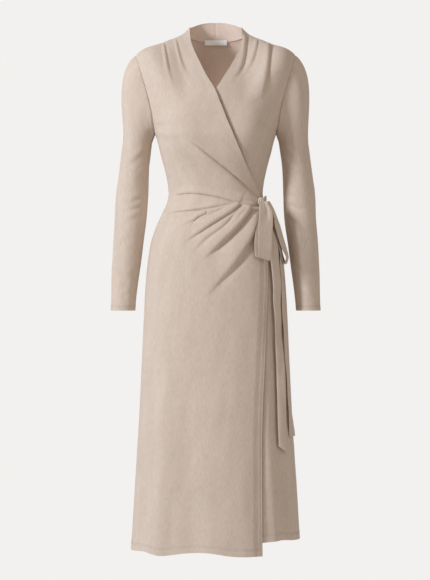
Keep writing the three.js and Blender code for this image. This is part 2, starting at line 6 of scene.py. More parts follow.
import bmesh
import bpy
import numpy as np
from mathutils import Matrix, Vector


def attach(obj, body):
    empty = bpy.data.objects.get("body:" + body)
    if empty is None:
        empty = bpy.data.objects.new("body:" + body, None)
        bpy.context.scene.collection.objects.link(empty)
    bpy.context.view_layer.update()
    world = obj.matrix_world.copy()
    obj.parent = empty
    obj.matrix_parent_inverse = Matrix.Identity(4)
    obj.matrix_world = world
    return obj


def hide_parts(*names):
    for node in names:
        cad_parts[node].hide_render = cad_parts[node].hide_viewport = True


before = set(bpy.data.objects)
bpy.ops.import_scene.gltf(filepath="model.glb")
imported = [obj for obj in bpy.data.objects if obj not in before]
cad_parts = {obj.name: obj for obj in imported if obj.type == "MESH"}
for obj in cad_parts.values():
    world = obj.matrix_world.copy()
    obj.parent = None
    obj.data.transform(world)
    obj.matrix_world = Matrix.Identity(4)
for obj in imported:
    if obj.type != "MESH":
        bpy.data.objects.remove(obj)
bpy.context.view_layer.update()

# Steps of the grids, finer where the folds are small
FINE_STEP = 1.7
SKIRT_STEP = 1.8
STEP = 3.0
BACK_STEP = 3.6
CALM_STEP = 6.0

# Rows beside a sewn edge, and the first one that is free of it
SEAM_ROWS = np.array([0, 1.0, 2.2, 3.8])
FREE_ROW = 5.6

# Camera at the photograph's place, in metres: its distance and place, and the height that the picture covers
VIEW_DISTANCE = 3.5
VIEW_X = -0.0016
VIEW_Z = -0.588
VIEW_HEIGHT = 1.392

# Cloth and seams
MM = 0.001
CLOTH = 1.2
TIE_CLOTH = 2.2
OVERLAP_LIFT = 4.8
FOLD_FLOOR = 3.4
SEAM_ROLL = 1.1
SEAM_WIDTH = 3.0
PINCH = 3.0
SLACK = 0.9
FINE_SLACK = 0.16
HEM_BAND = 19.0
HEM_RISE = 0.45
HEM_LINES = (14.0, 18.0)
CUFF_BAND = 13.0
CUFF_RISE = 0.4
CUFF_LINES = (8.5, 12.0)
EDGE_BAND = 21.0
EDGE_TILT = 2.6
EDGE_SINK = 3.4
EDGE_LINES = (4.5, 12.5, 16.5, 20.5)

# Levels and places on the worn form
RIDGE_Y = 6.0
ARMPIT_Z = -211.0
PIT_X = 145.0
CROSS_Z = -112.0
NECK_X = 78.0
NECK_Z = 27.5
NECK_BACK_Y = 62.0
NECK_BACK_Z = 17.0
COLLAR_X = 62.0
COLLAR_Z = 43.5
COLLAR_BACK_Y = 61.0
COLLAR_BACK_Z = 64.0
COLLAR_CURVE = 2.7
COLLAR_SEAM = 1.0
ROUNDNESS = 2.2


def mix(a, b, t):
    return a + (b - a) * t


def ease(t):
    t = np.clip(t, 0.0, 1.0)
    return t * t * (3.0 - 2.0 * t)


def bell(x):
    return np.exp(-np.square(x))


def signed_power(x, p):
    return np.sign(x) * np.abs(x) ** p


def hermite(p, q, leave, arrive, t):
    """Cubic from p to q with the slopes at which it leaves and arrives."""
    return p + leave * t + (3 * (q - p) - 2 * leave - arrive) * t**2 + (2 * (p - q) + leave + arrive) * t**3


def curve(rows, column=1):
    """Smooth value of a column along the first one, through the rows of a table."""
    rows = np.array(rows, float)
    at, value = rows[:, 0], rows[:, column]
    last = len(at) - 1
    before = np.maximum(np.arange(last + 1) - 1, 0)
    after = np.minimum(np.arange(last + 1) + 1, last)
    slope = (value[after] - value[before]) / (at[after] - at[before])

    def value_at(x):
        x = np.clip(np.asarray(x, float), at[0], at[last])
        i = np.clip(np.searchsorted(at, x, side="right") - 1, 0, last - 1)
        step = at[i + 1] - at[i]
        return hermite(value[i], value[i + 1], slope[i] * step, slope[i + 1] * step, (x - at[i]) / step)

    return value_at


def noise(u, v, seed):
    """Smooth lattice noise between -1 and 1."""
    cell_u, cell_v = np.floor(u), np.floor(v)
    t_u, t_v = ease(u - cell_u), ease(v - cell_v)

    def corner(a, b):
        wave = np.sin((cell_u + a) * 127.1 + (cell_v + b) * 311.7 + seed * 74.7) * 43758.5453
        return 2.0 * (wave - np.floor(wave)) - 1.0

    low = mix(corner(0, 0), corner(1, 0), t_u)
    high = mix(corner(0, 1), corner(1, 1), t_u)
    return mix(low, high, t_v)


# Sections of the form: drop below the origin, half width, and depth of front and back
FORM = [
    (-60, 201, 92, 82), (0, 200, 96, 86), (24, 199, 98, 89), (70, 194, 101, 93), (113, 184, 104, 96),
    (150, 172, 109, 97), (180, 160, 114, 96), (204, 149, 117, 95), (228, 138.5, 119, 92),
    (266, 129, 112, 87), (305, 119.5, 99, 83), (343, 113, 90, 80), (362, 112.5, 87, 80),
    (382, 117, 89, 84), (401, 126, 93, 90), (439, 143, 99, 99), (478, 155.5, 103, 106),
    (554, 165.5, 108, 114), (689, 173, 114, 119), (890, 183, 125, 128), (1121, 197, 137, 139),
    (1202, 202, 141, 143),
]
half_at, front_at, back_at = curve(FORM, 1), curve(FORM, 2), curve(FORM, 3)

# Top of the shoulder, from the side of the neck out to the sleeve: place across and height
RIDGE = [
    (62, 43.5), (66, 38.5), (71, 33.6), (78, 27.5), (95, 19), (113, 12), (129, 5), (152, -2.4),
    (171, -9.6), (183, -17), (191, -24),
]
ridge_at = curve(RIDGE)
calm_ridge_at = curve([
    (0, 46.5), (30, 45.2), (50, 41.6), (62, 37.2), (78, 28.6), (95, 19.6), (113, 12), (129, 5.5),
    (152, -2.4), (171, -9.6), (191, -24),
])

# Armhole seam, overlap edge and underlap edge: drop and place across
ARMHOLE = [
    (24, 191), (50, 184), (77, 175.5), (119, 163.5), (160, 153.5), (185, 149), (204, 146), (211, 145.3),
]
armhole_at = curve(ARMHOLE)
OVERLAP_EDGE = [
    (-43.5, -62), (-25, -61.5), (0, -57.5), (27, -48), (56, -35), (91, -19), (124, -1), (216, 35),
    (323, 82), (359, 97.5), (378, 99), (394, 100.5), (412, 107), (430, 112), (517, 120), (644, 118),
    (778, 112), (912, 107), (1206, 107),
]
overlap_edge_at = curve(OVERLAP_EDGE)
UNDERLAP_EDGE = [
    (-43.5, 62), (-9, 63), (15, 56.5), (56, 37.5), (99, 12.5), (122, -1), (216, -36), (323, -76),
    (400, -92),
]
underlap_edge_at = curve(UNDERLAP_EDGE)
UNDERLAP_SKIRT_X = -92.0

# Waist seam and hems: place across and height
WAIST = [
    (-126, -408), (-112, -406), (-70, -404), (-20, -400), (13, -394), (54, -387), (79, -394),
    (101, -395), (122, -397),
]
waist_at = curve(WAIST)
back_waist_at = curve([(-126, -408), (0, -396), (122, -397)])
overlap_hem_at = curve([
    (-203, -1205), (-165, -1199), (-120, -1203), (-70, -1196), (-20, -1194), (40, -1202), (108, -1204),
])
underlap_hem_at = curve([(-100, -1176), (106, -1174), (160, -1173), (203, -1181)])
back_hem_at = curve([(-203, -1205), (-80, -1198), (60, -1194), (203, -1181)])

# Points worked out along a fold's line, and how much gentler its trough's far side usually is
FOLD_POINTS = 29
USUAL_RUN = 1.1

# Folds of the fronts, each a line of four points seen from the front. A trough of the given width and
# depth runs along it. A ridge lies beside it, steep towards the trough and spreading gently away.
# side is 1 where the ridge is left of the way the line runs, rise and fall are the shares of the
# length over which the fold starts and ends, and run is how much gentler the trough's far side is. Rows
# without it have the usual run.
FOLDS = [
    (-66, -230, -22, -270, 34, -315, 100, -378, 2.8, 2.8, 5.0, 21, 0.45, 0.04, -1),
    (-94, -365.5, -58, -361.5, -2, -370, 56, -388.5, 2.6, 3.0, 2.6, 12, 0.25, 0.06, 1),
    (-118, -410, -62, -405.5, -8, -397.5, 49, -387, 2.4, 1.7, 1.8, 9, 0.12, 0.30, 1),
    (-120, -425, -92, -421, -62, -418, -30, -414, 4.5, 0.9, 0.9, 10, 0.40, 0.40, 1),
    (-20, -410, -37, -418.5, -55, -430, -84, -443.5, 2.5, 3.2, 3.2, 10, 0.06, 0.60, -1),
    (56.7, -390, 29, -412.5, -18, -443, -78, -486, 2.9, 4.8, 5.6, 16, 0.04, 0.45, -1),
    (48, -409, 17, -443, -20, -471, -56, -510, 4.2, 2.0, 2.2, 12, 0.20, 0.40, -1),
    (81.5, -398, 57, -435.5, 16, -479, -27, -522, 3.6, 5.0, 7.0, 20, 0.04, 0.40, -1, 3.0),
    (106, -392, 96, -445, 50, -526, -26, -616, 4.8, 5.6, 8.0, 24, 0.10, 0.45, -1, 1.8),
    (-34, -414, -44, -424, -52, -436, -60, -450, 2.6, 1.0, 1.0, 6, 0.25, 0.50, -1),
    (24, -396.5, 6, -405, -14, -414.5, -44, -436, 3.0, 1.5, 1.4, 7, 0.15, 0.55, -1),
    (70, -399, 60, -410, 48, -424, 30, -442, 3.0, 1.0, 1.2, 7, 0.20, 0.60, -1),
    (96, -374, 76, -366, 52, -352, 26, -332, 3.4, 1.0, 0.9, 8, 0.15, 0.50, 1),
    (98, -384, 70, -380, 38, -368, 4, -352, 3.2, 1.2, 0.9, 8, 0.15, 0.60, 1),
    (98, -352, 92, -334, 84, -316, 72, -296, 4.5, 0.8, 0.9, 10, 0.25, 0.50, 1),
]

# Pleats sewn into the shoulder seams, which open out over the bust
PLEATS = [
    (-121, 4, -112.5, -40, -104, -76, -88, -124, 4.2, 0.8, 2.1, 4.6, 0.10, 0.55, -1, 1.3),
    (-93, 14, -81, -32.5, -70, -63, -46, -114, 4.2, 0.7, 1.9, 4.6, 0.10, 0.55, -1, 1.3),
    (130, 5, 126, -50, 120, -100, 110, -152, 3.6, 4.6, 3.4, 15, 0.10, 0.50, -1, 5.0),
    (103, 12, 96, -28, 82, -66, 54, -106, 4.2, 1.8, 2.0, 9, 0.10, 0.60, -1, 1.4),
    (75, 26, 71, -34, 61.5, -72, 36, -112, 4.4, 3.0, 2.6, 8, 0.10, 0.55, -1, 1.6),
]

# Wrinkles of the back, at the waist and below the shoulders
BACK_FOLDS = [
    (-118, -352, -78, -362, -34, -364, 18, -356, 6.0, 1.7, 1.8, 13, 0.30, 0.50, 1),
    (114, -344, 74, -358, 30, -372, -22, -376, 6.0, 1.9, 1.8, 14, 0.25, 0.50, -1),
    (-124, -392, -88, -386, -46, -384, -8, -388, 5.0, 1.4, 1.4, 10, 0.20, 0.50, 1),
    (122, -386, 88, -384, 52, -386, 20, -392, 5.0, 1.4, 1.4, 10, 0.20, 0.50, -1),
    (-108, -318, -70, -334, -30, -342, 6, -340, 7.0, 1.1, 1.3, 15, 0.35, 0.50, 1),
    (126, -424, 96, -440, 60, -470, 30, -516, 7.0, 2.0, 2.0, 16, 0.15, 0.60, 1),
    (-126, -424, -98, -446, -70, -484, -50, -530, 7.0, 1.8, 1.9, 16, 0.15, 0.60, -1),
    (-152, -118, -134, -140, -112, -172, -96, -208, 8.0, 1.2, 1.4, 16, 0.20, 0.60, 1),
    (152, -122, 136, -142, 114, -170, 98, -212, 8.0, 1.2, 1.4, 16, 0.20, 0.60, -1),
    (8, -400, 4, -440, 8, -500, 16, -580, 8.0, 1.6, 2.0, 18, 0.10, 0.70, 1),
]

# Drag lines from the armpits over the bust, seen from the front
BUST_FOLDS = [
    (-144, -196, -120, -204, -92, -206, -62, -200, 8.0, 0.9, 1.1, 16, 0.20, 0.60, 1),
    (-140, -216, -112, -232, -86, -240, -60, -240, 8.0, 0.8, 1.0, 16, 0.20, 0.60, 1),
    (142, -198, 126, -212, 112, -232, 102, -262, 7.0, 1.3, 1.4, 14, 0.15, 0.60, -1),
    (128, -262, 116, -286, 106, -312, 102, -344, 6.0, 1.1, 1.3, 12, 0.20, 0.50, -1),
]

# Broad soft folds that fall from the hips to the hem: side, turn in degrees, top, width and height
FALLS = [
    (-1, -62, -480, 8, 2.5), (-1, -38, -480, 9, 11.5), (-1, -16, -540, 8, -4.0), (-1, 3, -620, 8, 2.5),
    (-1, 16, -640, 8, 3.0), (-1, 41, -560, 5, 4.0), (-1, 50.5, -560, 4.5, -4.5), (-1, 62, -560, 5.5, 6.0),
    (1, -60, -520, 9, 5.0), (1, -30, -600, 9, 5.5), (1, 0, -560, 8, 4.5), (1, 27, -620, 9, 5.5),
    (1, 61, -520, 9, 5.0),
]


def smooth_line(points, count, power, end):
    """Even steps of a smooth line through points.

    power is 0 for points that all pull alike and 0.5 to keep the line from looping between near ones.
    end is 1 where the line runs straight out of its two ends, and 0 where it starts and stops slowly.
    """
    points = np.array(points, float)
    last = len(points) - 1
    out = []
    for place in np.linspace(0, last, count):
        i = min(int(place), last - 1)
        p1, p2 = points[i], points[i + 1]
        p0 = points[i - 1] if i > 0 else p1 + end * (p1 - p2)
        p3 = points[i + 2] if i + 2 <= last else p2 + end * (p2 - p1)
        d0, d1, d2 = [max(np.linalg.norm(b - a), 1e-4) ** power for a, b in ((p0, p1), (p1, p2), (p2, p3))]
        m1 = (p1 - p0) / d0 - (p2 - p0) / (d0 + d1) + (p2 - p1) / d1
        m2 = (p2 - p1) / d1 - (p3 - p1) / (d1 + d2) + (p3 - p2) / d2
        out.append(hermite(p1, p2, m1 * d1, m2 * d1, place - i))
    return np.array(out)


def fold_height(fold, x, z):
    """How far one fold moves the cloth outwards at places seen from the front."""
    line = smooth_line(np.array(fold[:8]).reshape(4, 2), FOLD_POINTS, 0.0, 0.0)
    width, depth, ridge, spread, rise, fall, side, run = (*fold[8:], USUAL_RUN)[:8]
    away = np.full(x.shape, 1e9)
    along = np.zeros(x.shape)
    turn = np.ones(x.shape)
    for i in range(len(line) - 1):
        step = line[i + 1] - line[i]
        off_x, off_z = x - line[i, 0], z - line[i, 1]
        t = np.clip((off_x * step[0] + off_z * step[1]) / step.dot(step), 0, 1)
        far = np.hypot(off_x - step[0] * t, off_z - step[1] * t)
        near = far < away
        away = np.where(near, far, away)
        along = np.where(near, (i + t) / (len(line) - 1), along)
        turn = np.where(near, np.sign(step[0] * off_z - step[1] * off_x), turn)
    strength = ease(along / rise) * ease((1 - along) / fall)
    reach = width * mix(0.75, 1.5, along)
    across = away * turn * side
    trough = bell(np.where(across > 0, across, across / run) / reach)
    crest = 1.5 * reach
    slope = np.where(across > crest, spread * mix(0.5, 1.4, along), 0.85 * reach)
    return strength * (ridge * bell((across - crest) / slope) - depth * trough)


def sum_of(folds, piece):
    return sum(fold_height(fold, piece["x"], piece["z"]) for fold in folds)


def fall_height(side, turn, z):
    """Height of the broad hanging folds at one turn and level."""
    degrees = np.degrees(turn)
    total = np.zeros(z.shape)
    for fold_side, at, top, width, height in FALLS:
        if fold_side == side:
            sway = 1.6 * np.sin(z / 170.0 + at)
            total = total + height * ease((top - z) / (top + 1200)) * bell((degrees - at - sway) / width)
    return total


def side_at(z):
    return np.where(z > ARMPIT_Z, armhole_at(-z), half_at(-z))


def turn_of(x, z):
    return np.arcsin(np.clip(signed_power(x / half_at(-z), ROUNDNESS / 2), -1, 1))


def across_at(turn, z):
    return half_at(-z) * signed_power(np.sin(turn), 2 / ROUNDNESS)


def top_y(side, x):
    """Depth at which the form starts, under the shoulder seam and round the back of the neck."""
    inside = np.clip(1 - (np.abs(x) / NECK_X) ** ROUNDNESS, 0, 1)
    behind = RIDGE_Y + (NECK_BACK_Y - RIDGE_Y) * inside ** (1 / ROUNDNESS)
    return np.where(side < 0, RIDGE_Y, behind)


def top_z(side, x):
    away = np.abs(x)
    neck = mix(NECK_BACK_Z, NECK_Z, (away / NECK_X) ** 2)
    return np.where((side > 0) & (away < NECK_X), neck, ridge_at(away))


# How far down, and how roundly, the form curves out from its top: near the neck on each side, and outside
YOKE_REACH = {-1: 190.0, 1: 110.0}
YOKE_CURL = {-1: 1.3, 1: 1.6}
OUTER_REACH = 62.0
OUTER_CURL = 2.0
YOKE_HALF = 60.0
YOKE_FADE = 110.0


def form_point(side, x, z):
    """Places on the worn form. side is -1 in front and 1 behind."""
    depth = front_at(-z) if side < 0 else back_at(-z)
    full = side * depth * np.cos(turn_of(x, z)) ** (2 / ROUNDNESS)
    outwards = ease((np.abs(x) - YOKE_HALF) / YOKE_FADE)
    reach = mix(YOKE_REACH[side], OUTER_REACH, outwards)
    curl = mix(YOKE_CURL[side], OUTER_CURL, outwards)
    top = top_z(side, x)
    if side < 0:
        top = mix(top, calm_ridge_at(np.abs(x)), ease((top - z) / 50))
    sunk = np.clip((top - z) / reach, 0, 1)
    out = (1 - (1 - sunk) ** curl) ** (1 / curl)
    return np.stack([x, mix(top_y(side, x), full, out), z], -1)


def shares(length, step):
    """Shares of a length, closer together at its two ends."""
    ends = SEAM_ROWS / length
    inner = np.linspace(FREE_ROW / length, 1 - FREE_ROW / length, max(4, int(length / step)))
    return np.concatenate([ends, inner, 1 - ends[::-1]])


def meet(edge, level, start):
    """Places where rows meet an edge whose place across is known at each level."""
    x = np.array(start, float)
    for _ in range(60):
        x = mix(x, edge(level(x)), 0.5)
    return x


def panel(side, downs, columns, top, bottom, left, right, starts, through=None):
    """A cut piece as rows of places on the form, with the level, turn and edges of each.

    through is a place across the top row that a column of the grid must meet.
    """
    downs, columns = np.array(downs), np.array(columns)

    def level(x):
        return mix(top(x), bottom(x), downs)

    x_from = meet(left, level, np.full(len(downs), float(starts[0])))
    x_to = meet(right, level, np.full(len(downs), float(starts[1])))
    turn_from, turn_to = turn_of(x_from, level(x_from)), turn_of(x_to, level(x_to))
    if through is not None:
        at_top = float(top(through))
        met = (turn_of(through, at_top) - turn_from[0]) / (turn_to[0] - turn_from[0])
        columns[np.argmin(np.abs(columns - met))] = met
    share = columns[None, :]
    flat_x = mix(x_from[:, None], x_to[:, None], share)
    down = downs[:, None]
    guess_z = mix(top(flat_x), bottom(flat_x), down)
    x = across_at(mix(turn_from[:, None], turn_to[:, None], share), guess_z)
    x[:, 0], x[:, -1] = x_from, x_to
    z = mix(top(x), bottom(x), down)
    place = form_point(side, x, z)
    return {
        "side": side, "x": x, "z": z, "turn": turn_of(x, z), "from": x_from[:, None], "to": x_to[:, None],
        "place": place, "away": edge_distances(place),
    }


def lengths(place, axis):
    """Distance of each place from the first one, along rows (axis 1) or down columns (axis 0)."""
    step = np.linalg.norm(np.diff(place, axis=axis), axis=2)
    pad = [(0, 0), (0, 0)]
    pad[axis] = (1, 0)
    return np.pad(np.cumsum(step, axis=axis), pad)


def run_along(line):
    """Distance of each place of a line from its start."""
    return np.concatenate([[0], np.cumsum(np.linalg.norm(np.diff(line, axis=0), axis=1))])


def unit(ways):
    return ways / np.maximum(np.linalg.norm(ways, axis=-1, keepdims=True), 1e-9)


def turns(count):
    """Even angles once round."""
    return np.arange(count) / count * 2 * math.pi


def edge_distances(place):
    across, down = lengths(place, 1), lengths(place, 0)
    return {"left": across, "right": across[:, -1:] - across, "top": down, "bottom": down[-1:, :] - down}


def normals_of(place, outwards, closed=False):
    """Direction square to a grid of places. outwards is 1 or -1, whichever points out of the garment."""
    if closed:
        ring = np.concatenate([place[:, -1:], place, place[:, :1]], 1)
        across = np.gradient(ring, axis=1)[:, 1:-1]
    else:
        across = np.gradient(place, axis=1, edge_order=2)
    down = np.gradient(place, axis=0, edge_order=2)
    return unit(np.cross(across, down) * outwards)


def seam_roll(distance, other, seed):
    """Depth by which cloth turns in at a seam, a little uneven along it."""
    pull = 1 + 0.25 * noise(other / 9.0, other * 0, seed)
    return -SEAM_ROLL * pull * (1 - ease(distance / SEAM_WIDTH))


def slack(piece, seed):
    """Unevenness of hanging jersey: broad and faint, and finer and fainter."""
    x, z = piece["x"], piece["z"]
    broad = SLACK * noise(x / 62.0, z / 95.0, seed)
    middle = 0.32 * SLACK * noise(x / 27.0 + 7, z / 44.0, seed + 3)
    return broad + middle + FINE_SLACK * noise(x / 11.0, z / 15.0 + 3, seed + 5)


def calm_at(away, **reach):
    """Share that fades to nothing over its reach towards each named edge."""
    calm = 1.0
    for edge, length in reach.items():
        calm = calm * ease(away[edge] / length)
    return calm


def rolled(lift, piece, seeds):
    """Lift with the cloth turned in at its seams, from a seed for each sewn edge."""
    for edge, seed in seeds.items():
        along = piece["z"] if edge in ("left", "right") else piece["x"]
        lift = lift + seam_roll(piece["away"][edge], along, seed)
    return lift


def hemmed(lift, away):
    """Lift with the double cloth of the hem and the lines of its stitches."""
    lift = lift + HEM_RISE * (1 - ease((away["bottom"] - HEM_BAND) / 2.5))
    for at in HEM_LINES:
        lift = lift + groove(away["bottom"], at)
    return lift


def groove(distance, at, depth=0.38, width=1.1):
    """Line pressed into the cloth by a row of stitches."""
    return -depth * bell((distance - at) / width)


def seated(piece, lift, pinch=0.0):
    """The piece's places moved outwards by its lift. pinch leans steep slopes over their troughs."""
    square = normals_of(piece["place"], piece["side"])
    moved = piece["place"] + square * lift[..., None]
    if pinch:
        tilted = normals_of(moved, piece["side"])
        slide = tilted - square * np.sum(tilted * square, 2, keepdims=True)
        steep = np.linalg.norm(slide, axis=2, keepdims=True)
        calm = np.ones(lift.shape)
        for away in piece["away"].values():
            calm = calm * ease((away - 1) / 8)
        moved = moved + slide * steep * pinch * calm[..., None]
    return moved


# Meshes
def grid_faces(rows, columns, closed, flip, start=0):
    index = np.arange(rows * columns).reshape(rows, columns) + start
    if closed:
        index = np.concatenate([index, index[:, :1]], 1)
    a, b, c, d = index[:-1, :-1], index[:-1, 1:], index[1:, 1:], index[1:, :-1]
    order = (a, d, c, b) if flip else (a, b, c, d)
    return np.stack(order, -1).reshape(-1, 4)


def tube_faces(rows, ring, start=0):
    """Faces of a tube of rings, capped at both ends."""
    last = start + (rows - 1) * ring
    caps = [list(range(start, start + ring))[::-1], list(range(last, last + ring))]
    return grid_faces(rows, ring, True, False, start).tolist() + caps


def shown(name, data):
    """A new object of the scene that shows a mesh, a lamp or a camera."""
    made = bpy.data.objects.new(name, data)
    bpy.context.collection.objects.link(made)
    return made


def make_object(name, places, faces, materials):
    mesh = bpy.data.meshes.new(name)
    mesh.from_pydata((np.asarray(places) * MM).tolist(), [], [list(map(int, face)) for face in faces])
    mesh.update()
    for material in materials:
        mesh.materials.append(material)
    return shown(name, mesh)


def set_uv(mesh, uv):
    """uv holds each vertex's place in the flat cloth, in metres."""
    layer = mesh.uv_layers.new(name="cloth")
    corner = np.zeros(len(mesh.loops), np.int32)
    mesh.loops.foreach_get("vertex_index", corner)
    layer.data.foreach_set("uv", np.asarray(uv, np.float32)[corner].ravel())


# Metres within which places are joined, in cloth and in stitches
WELD = 0.00003
FINE_WELD = 0.00001


def rework(mesh, change):
    """Runs a change on the editable form of a mesh."""
    work = bmesh.new()
    work.from_mesh(mesh)
    change(work)
    work.to_mesh(mesh)
    work.free()


def weld(mesh, distance=WELD):
    rework(mesh, lambda work: bmesh.ops.remove_doubles(work, verts=work.verts, dist=distance))


def face_outwards(mesh):
    rework(mesh, lambda work: bmesh.ops.recalc_face_normals(work, faces=work.faces))


def smooth(mesh, angle=55):
    mesh.polygons.foreach_set("use_smooth", [True] * len(mesh.polygons))
    mesh.set_sharp_from_angle(angle=math.radians(angle))
    mesh.update()


def thicken(piece, thickness, inside):
    """Turns a single layer of cloth into a thin closed shell about it."""
    solid = piece.modifiers.new("thickness", "SOLIDIFY")
    solid.thickness = thickness * MM
    solid.offset = 0
    solid.use_even_offset = False
    solid.use_rim = True
    # The inner side gets the second material, whose lighter, pinker colour is painted bounce light
    solid.material_offset = 1 if inside else 0
    graph = bpy.context.evaluated_depsgraph_get()
    shell = bpy.data.meshes.new_from_object(piece.evaluated_get(graph))
    piece.modifiers.clear()
    piece.data = shell
    smooth(shell)
    return piece


def cloth(name, grids, closed=False):
    """A cloth piece from grids of places whose outward sides are known, welded where they touch."""
    places, faces, uv, start = [], [], [], 0
    for place, outwards in grids:
        rows, columns = place.shape[:2]
        places.append(place.reshape(-1, 3))
        faces.append(grid_faces(rows, columns, closed, outwards < 0, start))
        uv.append(np.stack([lengths(place, 1) * MM, -lengths(place, 0) * MM], -1).reshape(-1, 2))
        start += rows * columns
    # The second material, on the inner face, is the jersey tinted with painted bounce light
    piece = make_object(name, np.vstack(places), np.vstack(faces), [jersey, jersey_inside_painted_bounce])
    set_uv(piece.data, np.vstack(uv))
    if len(grids) > 1:
        weld(piece.data)
    return thicken(piece, CLOTH, True)


# Materials
def feed(tree, socket, value):
    """Links a socket to the one given, or sets it to a value."""
    if isinstance(value, bpy.types.NodeSocket):
        tree.links.new(value, socket)
    else:
        socket.default_value = value


def node(tree, kind, **values):
    made = tree.nodes.new(kind)
    for key, value in values.items():
        if key in made.inputs:
            feed(tree, made.inputs[key], value)
        else:
            setattr(made, key, value)
    return made


def arithmetic(tree, operation, *terms):
    made = node(tree, "ShaderNodeMath", operation=operation)
    for socket, term in zip(made.inputs, terms):
        feed(tree, socket, term)
    return made.outputs[0]


def surface(name, roughness, specular):
    """A new material, its node tree and its shader."""
    material = bpy.data.materials.new(name)
    material.use_nodes = True
    shader = material.node_tree.nodes["Principled BSDF"]
    shader.inputs["Roughness"].default_value = roughness
    shader.inputs["Specular IOR Level"].default_value = specular
    return material, material.node_tree, shader


def shaded(tree, pattern, dark, light, low=0.0, high=1.0):
    """Colour that turns from dark to light as a pattern rises from low to high."""
    ramp = node(tree, "ShaderNodeValToRGB", Fac=pattern)
    for stop, at, colour in zip(ramp.color_ramp.elements, (low, high), (dark, light)):
        stop.position = at
        stop.color = (*colour, 1)
    return ramp.outputs["Color"]


# Heather streaks, soft patches and ribs of the knit: repeats in a metre across and along the cloth
STREAKS = (420, 75, 1)
PATCHES = (34, 8, 1)
RIBS = (1050, 860, 1)
STREAK_SHARE = 0.62


def laid(tree, scale, kind, **values):
    """A pattern laid on the flat cloth with its own scale across and along."""
    place = node(tree, "ShaderNodeUVMap", uv_map="cloth").outputs["UV"]
    mapping = node(tree, "ShaderNodeMapping", Vector=place, Scale=scale)
    return node(tree, kind, Vector=mapping.outputs["Vector"], Scale=1.0, **values)


def jersey_material(name, light, dark, grain=1.0):
    """Fine matte jersey: ribs of the knit, heather streaks along them and a soft nap."""
    material, tree, shader = surface(name, 0.88, 0.22)
    shader.inputs["Sheen Weight"].default_value = 0.22
    shader.inputs["Sheen Roughness"].default_value = 0.55
    shader.inputs["Sheen Tint"].default_value = (1.0, 0.93, 0.86, 1)
    streaks = laid(tree, STREAKS, "ShaderNodeTexNoise", Detail=3.0, Roughness=0.6).outputs["Fac"]
    patches = laid(tree, PATCHES, "ShaderNodeTexNoise", Detail=4.0, Roughness=0.62).outputs["Fac"]
    ribs = laid(tree, RIBS, "ShaderNodeTexVoronoi", Randomness=0.35).outputs["Distance"]
    rest = arithmetic(tree, "MULTIPLY", patches, 1 - STREAK_SHARE)
    blend = arithmetic(tree, "MULTIPLY_ADD", streaks, STREAK_SHARE, rest)
    feed(tree, shader.inputs["Base Color"], shaded(tree, blend, dark, light, 0.32, 0.68))
    knit = node(tree, "ShaderNodeBump", invert=True, Height=ribs, Strength=0.35 * grain, Distance=0.00035)
    nap = node(
        tree, "ShaderNodeBump", Height=streaks, Normal=knit.outputs["Normal"], Strength=0.45 * grain,
        Distance=0.0006,
    )
    feed(tree, shader.inputs["Normal"], nap.outputs["Normal"])
    return material


def plain_material(name, colour, roughness, grain_scale):
    """Thread or tape: one colour with a fine woven grain."""
    material, tree, shader = surface(name, roughness, 0.3)
    place = node(tree, "ShaderNodeTexCoord").outputs["Object"]
    grain = node(tree, "ShaderNodeTexNoise", Vector=place, Scale=grain_scale, Detail=2.0).outputs["Fac"]
    feed(tree, shader.inputs["Base Color"], shaded(tree, grain, [0.9 * c for c in colour], colour))
    bump = node(tree, "ShaderNodeBump", Height=grain, Strength=0.4, Distance=0.0002)
    feed(tree, shader.inputs["Normal"], bump.outputs["Normal"])
    return material


JERSEY_LIGHT = (0.665, 0.55, 0.453)
JERSEY_DARK = (0.53, 0.428, 0.345)
# The inner face is the same cloth as the outer one, painted lighter and pinker: painted bounce light, the
# warm light reflected inside the garment
INSIDE_PAINTED_BOUNCE_LIGHT = (0.72, 0.575, 0.485)
INSIDE_PAINTED_BOUNCE_DARK = (0.63, 0.49, 0.405)
jersey = jersey_material("jersey_cloth", JERSEY_LIGHT, JERSEY_DARK)
jersey_inside_painted_bounce = jersey_material("jersey_inner_face_painted_bounce", INSIDE_PAINTED_BOUNCE_LIGHT, INSIDE_PAINTED_BOUNCE_DARK, 0.8)
thread = plain_material("sewing_thread", (0.42, 0.335, 0.265), 0.7, 2600)
tape = plain_material("label_tape", (0.93, 0.925, 0.91), 0.6, 2200)


# Stitches
def between(at, known, values):
    """Value of each column of a table at a place along it."""
    return np.array([np.interp(at, known, values[:, i]) for i in range(values.shape[1])])


def stitches(name, rows, pitch=3.1, length=2.5, radius=0.36):
    """Rows of short raised stitches along lines of places with their outward directions."""
    places, faces = [], []
    sides = 5
    around = turns(sides)
    profile = [(-0.5, 0.0), (-0.36, 0.8), (0.0, 1.0), (0.36, 0.8), (0.5, 0.0)]
    for line, square in rows:
        run = run_along(line)
        count = int(run[-1] / pitch)
        for k in range(count):
            s = (k + 0.5) * run[-1] / count
            centre, up = between(s, run, line), between(s, run, square)
            ahead, back = between(s + 0.5, run, line), between(s - 0.5, run, line)
            way, up = unit(ahead - back), unit(up)
            flat = np.cross(way, up)
            start = len(places)
            for share, size in profile:
                for angle in around:
                    off = (flat * math.cos(angle) + up * math.sin(angle)) * radius * size
                    places.append(centre + way * share * length + off + up * (CLOTH / 2 + 0.05))
            faces += tube_faces(len(profile), sides, start)
    piece = make_object(name, np.array(places), faces, [thread])
    weld(piece.data, FINE_WELD)
    smooth(piece.data, 80)
    return piece


